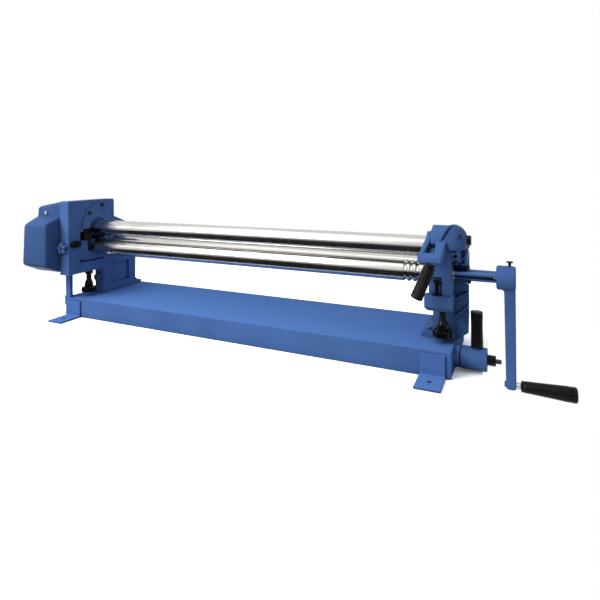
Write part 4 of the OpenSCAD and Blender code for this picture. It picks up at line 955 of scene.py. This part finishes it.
def knurled(teeth, depth, start):
    # the radius drops by a share of itself in every second sector, above the start
    return lambda t, along, r: r * (1 - depth * (along > start) * (np.cos(t * teeth) > 0))


tee = {
    "at": (870, crank["y"], 0), "r": 4, "headR": 9, "z0": 286, "neck": 300, "head": 307, "top": 311,
}


def thumbScrew():
    # a plain stem, a slimmer neck and a knurled flat head
    at, r, headR, z0, neck, head, top = pick(tee, "at r headR z0 neck head top")
    prof = [(z0, 2), (z0, r), (neck, r), (neck + 2, r - 0.4), (head - 1, r - 0.2), (head, 6.5),
            (head + 0.8, 8.6), (head + 2, headR), (top - 1, 8.6), (top, 7), (top, 2)]
    standIn("thumbScrewTurned", "thumb_screw", [turned(prof, 48, "z", at, knurled(16, 0.05, head + 0.5))], 40)


thumbScrew()
setProfile = [(244, 1.2), (246.2, 1.4), (246.2, 2.6), (244.6, 2.7), (244, 3.2), (244.8, 4), (255.5, 4),
              (255.7, 2)]
standIn("setScrewTurned", "set_screw", [turned(setProfile, 36, "z", (769, crank["y"], 0))], 40)
print("crank made")

# Bolts, nuts and the lock screw
boltAt = [(-661, 134), (-701, -24), (-701, 83), (696, 134), (648, -24), (648, 83)]


def housingBolts():
    # hexagon head, washer face and shank of each bolt that holds a housing down
    parts = []
    for at in boltAt:
        at = (*at, 0)
        parts.append(hexHead(20, 85.2, 91, 1.6, "z", at))
        parts.append(washerFace(84, 85.6, (5, 6), 9.6, 36, "z", at))
        parts.append(turned([(60, 3), (60, 5.2), (61, 6), (84.6, 6), (84.8, 3)], 24, "z", at))
    standIn("housingBoltSet", "housing_bolts", parts, 30, "blue_casting")


housingBolts()
lock = {"at": (689, -140, 0), "z0": 187, "r": 5, "head": 250, "headR": 11, "top": 255}


def lockScrew():
    # a plain stem, a cone and a knurled flat head, over a washer with broken edges
    at, z0, r, head, headR, top = pick(lock, "at z0 r head headR top")
    prof = [(z0, 3), (z0, 4.4), (z0 + 1, r), (head - 3, r), (head - 1, r + 0.6), (head, 8),
            (head + 0.2, headR - 0.6), (head + 1, headR), (top - 1, headR), (top, 9.8), (top, 3)]
    standIn("lockScrewTurned", "lock_screw", [turned(prof, 60, "z", at, knurled(20, 0.04, head + 0.5))], 40)
    washer = [(215, 6), (215, 12.4), (215.6, 13), (217.4, 13), (218, 12.4), (218, 6)]
    standIn("lockWasherTurned", "lock_washer", [turned(washer, 60, "z", at)])


lockScrew()


def nut(name, node, across, start, end, edge, face, axis, at):
    # a hexagon on its washer face; face holds the face's two ends, its bore and its radius
    parts = [hexHead(across, start, end, edge, axis, at), washerFace(*face, 48, axis, at)]
    standIn(name, node, parts, 30)


liftAt = (0, -80, 36)
leftNutAt = (*place["leftScrew"], 0)
nut("screwNutHex", "screw_nut", 32, 170.4, 158, 2.4, (172, 170, (9, 9), 13.8), "z", leftNutAt)
nut("hingeNutHex", "hinge_nut", 24, 746.2, 759, 2.2, (745, 746.6, (6, 6), 10.2), "x", place["hinge"])
hingePin = [(665, 2), (665, 4.6), (666, 5.5), (764, 5.5), (765, 4.6), (765, 2)]
standIn("hingePinTurned", "hinge_pin", [turned(hingePin, 36, "x", place["hinge"])])
nut("liftNutHex", "lift_nut", 30, 813.6, 834, 2.6, (812, 814, (7, 7), 13.2), "x", liftAt)
standIn("liftShaftBar", "lift_shaft", [
    turned([(-730, 4), (-730, 9.8), (-729, 11), (811, 11), (812, 10), (812, 4)], 48, "x", liftAt),
    turned([(810, 4), (812, 6), (846.6, 6), (848, 4.8), (848, 2)], 36, "x", liftAt)])
print("fasteners made")

# The rolls' left ends: a black plate painted as the shadow before the head's window, a black blob painted as
# shade at the end of the window's slot, a star boss
gap = {"x0": -637.9, "x1": -634.6, "topR": 31, "edge": -119.6, "blobX": -636.3}
around = np.radians(np.linspace(180, 232, 7)[:4])
upper = np.stack([rollY + gap["topR"] * np.cos(around),
                  topZ + gap["topR"] * np.sin(around)], 1)
outline = np.concatenate([upper, [
    (gap["edge"], 312), (gap["edge"], 250), (-130, 252), (-135, 297), (-153, 299),
    (-154, 336), (-147, 341), (-126, 344)]])
detail("headShadowGap", "left_housing", [carried(outline, gap["x0"], gap["x1"])], "black_steel")
# painted shade: a black blob where the end of the slot lies in shade
blob = roundedCorners([(-172, 216), (-158, 214.5), (-150, 219), (-158, 222.5), (-171, 222.5)],
                      2.5, 3)
detail("headSlotEnd", "left_housing", [carried(blob, gap["x0"], gap["blobX"], 0.5)], "black_steel")
star = {
    "at": (-663, 0, 274), "front": -236.5, "back": -220, "r": 18.5, "lobe": 5.5, "lobes": 5, "dishR": 9,
}


def starBoss():
    # a turned boss with a dished front, its outer radius waving with the angle
    at, front, back, r, lobe, lobes, dish = pick(star, "at front back r lobe lobes dishR")
    prof = [(back, 4), (back, r), (front + 3, r), (front + 0.8, r - 1.6), (front, r - 4.5), (front, dish),
            (front + 3, dish - 1.5), (front + 3, 1)]

    def wave(t, along, radius):
        return radius + lobe * np.cos(t * lobes + 0.6) * (radius > dish + 3)
    detail("headStarBoss", "left_housing", [turned(prof, 100, "y", at, wave)], "blue_casting", 40)


starBoss()
print("gaps made")


# Stage, light and camera
bench = {"edgeX": 0.80, "reach": 7, "z": -0.0005, "seenWhite": 2, "clearRadius": 1.05, "fadeRadius": 1.5}


def stagePlane(name, x0, x1, y0, y1, z):
    corner = [(x0, y0, z), (x1, y0, z), (x1, y1, z), (x0, y1, z)]
    o = placed(name, newMesh(name, corner, [(0, 1, 2, 3)]))
    return o


def anyRay(n, l):
    # 1 for a ray from the camera, in a mirror reflection or through glass
    rays = n.new("ShaderNodeLightPath")
    last = rays.outputs["Is Camera Ray"]
    for other in ("Is Glossy Ray", "Is Transmission Ray"):
        larger = n.new("ShaderNodeMath")
        larger.operation = "MAXIMUM"
        l.new(last, larger.inputs[0])
        l.new(rays.outputs[other], larger.inputs[1])
        last = larger.outputs[0]
    return last


def mixShader(n, l, factor, first, second):
    mix = n.new("ShaderNodeMixShader")
    l.new(factor, mix.inputs["Fac"])
    l.new(first, mix.inputs[1])
    l.new(second, mix.inputs[2])
    return mix.outputs[0]


def whiteBench(plane):
    # pale for the light it throws back; seen, it is white but for the shadow, and plain white far out
    m, n, l, pale = newMaterial("benchWhite", (0.32, 0.32, 0.32), 0.9)
    seen = n.new("ShaderNodeBsdfDiffuse")
    seen.inputs["Color"].default_value = (*[bench["seenWhite"]] * 3, 1)
    far = n.new("ShaderNodeEmission")
    where = n.new("ShaderNodeTexCoord")
    length = n.new("ShaderNodeVectorMath")
    length.operation = "LENGTH"
    l.new(where.outputs["Object"], length.inputs[0])
    fade = remap(n, l, length.outputs["Value"], bench["clearRadius"], bench["fadeRadius"], 0, 1)
    nearFar = mixShader(n, l, fade, seen.outputs[0], far.outputs[0])
    l.new(mixShader(n, l, anyRay(n, l), pale.outputs[0], nearFar), n["Material Output"].inputs["Surface"])
    plane.data.materials.append(m)


reach = bench["reach"]
whiteBench(stagePlane("benchTop", -reach, bench["edgeX"], -reach, reach, bench["z"]))

# A dark sheet lies before the machine and curves up behind the camera: only mirror reflections see it, so the
# rolls turn from white above to dark below, as they do over a dark workshop floor
darkSheet = {
    "x": (-2.2, 1.9), "nearY": -0.20, "flatY": -1.7, "z": 0.004, "curve": 0.9, "near": 0.015, "far": 0.9,
    "farZ": 0.75,
}


def reflectedSheet():
    k = darkSheet
    a = np.linspace(0, np.pi / 2, 12)
    y = np.concatenate([[k["nearY"]], k["flatY"] - k["curve"] * np.sin(a)])
    z = np.concatenate([[k["z"]], k["z"] + k["curve"] * (1 - np.cos(a))])
    rows = np.stack([np.stack([np.full(len(y), x), y, z], 1) for x in k["x"]])
    o = placed("darkSheet", newMesh("darkSheet", rows.reshape(-1, 3).tolist(), gridFaces(2, len(y), False)))
    o.visible_camera = o.visible_diffuse = o.visible_shadow = o.visible_transmission = False
    m, n, l = newMaterial("darkSheetTone", (0, 0, 0), 1)[:3]
    glow = n.new("ShaderNodeEmission")
    where, split = n.new("ShaderNodeTexCoord"), n.new("ShaderNodeSeparateXYZ")
    l.new(where.outputs["Object"], split.inputs[0])
    up = remap(n, l, split.outputs["Z"], 0, k["farZ"], k["near"], k["far"])
    l.new(up, glow.inputs["Strength"])
    l.new(glow.outputs[0], n["Material Output"].inputs["Surface"])
    o.data.materials.append(m)


reflectedSheet()

studio = {
    "strength": 0.50, "tint": (0.97, 0.985, 1), "target": (0, 0, 0.1), "topPower": 14, "frontPower": 84,
}


def whiteWorld():
    world = bpy.data.worlds.new("studio")
    bpy.context.scene.world = world
    world.use_nodes = True
    n, l = world.node_tree.nodes, world.node_tree.links
    n.clear()
    out = n.new("ShaderNodeOutputWorld")
    light, seen = n.new("ShaderNodeBackground"), n.new("ShaderNodeBackground")
    light.inputs["Color"].default_value = (*studio["tint"], 1)
    light.inputs["Strength"].default_value = studio["strength"]
    seen.inputs["Color"].default_value = (1, 1, 1, 1)
    l.new(mixShader(n, l, anyRay(n, l), light.outputs[0], seen.outputs[0]), out.inputs["Surface"])


whiteWorld()


def areaLight(name, at, target, size, power):
    lamp = bpy.data.lights.new(name, "AREA")
    lamp.shape = "RECTANGLE"
    lamp.size, lamp.size_y = size
    lamp.energy = power
    o = placed(name, lamp)
    o.location = at
    o.rotation_euler = (Vector(target) - Vector(at)).to_track_quat("-Z", "Y").to_euler()


areaLight("topSoft", (-0.5, -0.9, 2.6), studio["target"], (3.2, 1.8), studio["topPower"])
areaLight("frontSoft", (-1.6, -2.5, 2), studio["target"], (1.8, 1.4), studio["frontPower"])

camera = {
    "at": (0.8935, -1.4622, 0.5542), "yaw": 24.822, "roll": -0.5016, "focal": 472.57,
    "horizon": 171.8, "frame": 600,
}


def photoCamera():
    # the picture plane stands upright, and the shift brings the horizon to its height in the photograph
    yaw, roll = math.radians(camera["yaw"]), math.radians(camera["roll"])
    ahead = Vector((-math.sin(yaw), math.cos(yaw), 0))
    across, up = Vector((math.cos(yaw), math.sin(yaw), 0)), Vector((0, 0, 1))
    right = across * math.cos(roll) + up * math.sin(roll)
    top = up * math.cos(roll) - across * math.sin(roll)
    data = bpy.data.cameras.new("photoView")
    data.sensor_width = 36
    data.lens = camera["focal"] / camera["frame"] * data.sensor_width
    data.shift_y = -(camera["frame"] / 2 - camera["horizon"]) / camera["frame"]
    data.clip_start, data.clip_end = 0.05, 50
    cam = placed("photoView", data)
    axes = (right, top, -ahead, camera["at"])
    cam.matrix_world = Matrix([[axis[i] for axis in axes] for i in range(3)] + [[0, 0, 0, 1]])
    bpy.context.scene.camera = cam


photoCamera()
bpy.context.scene.view_settings.view_transform = "Standard"
print("stage and camera made")
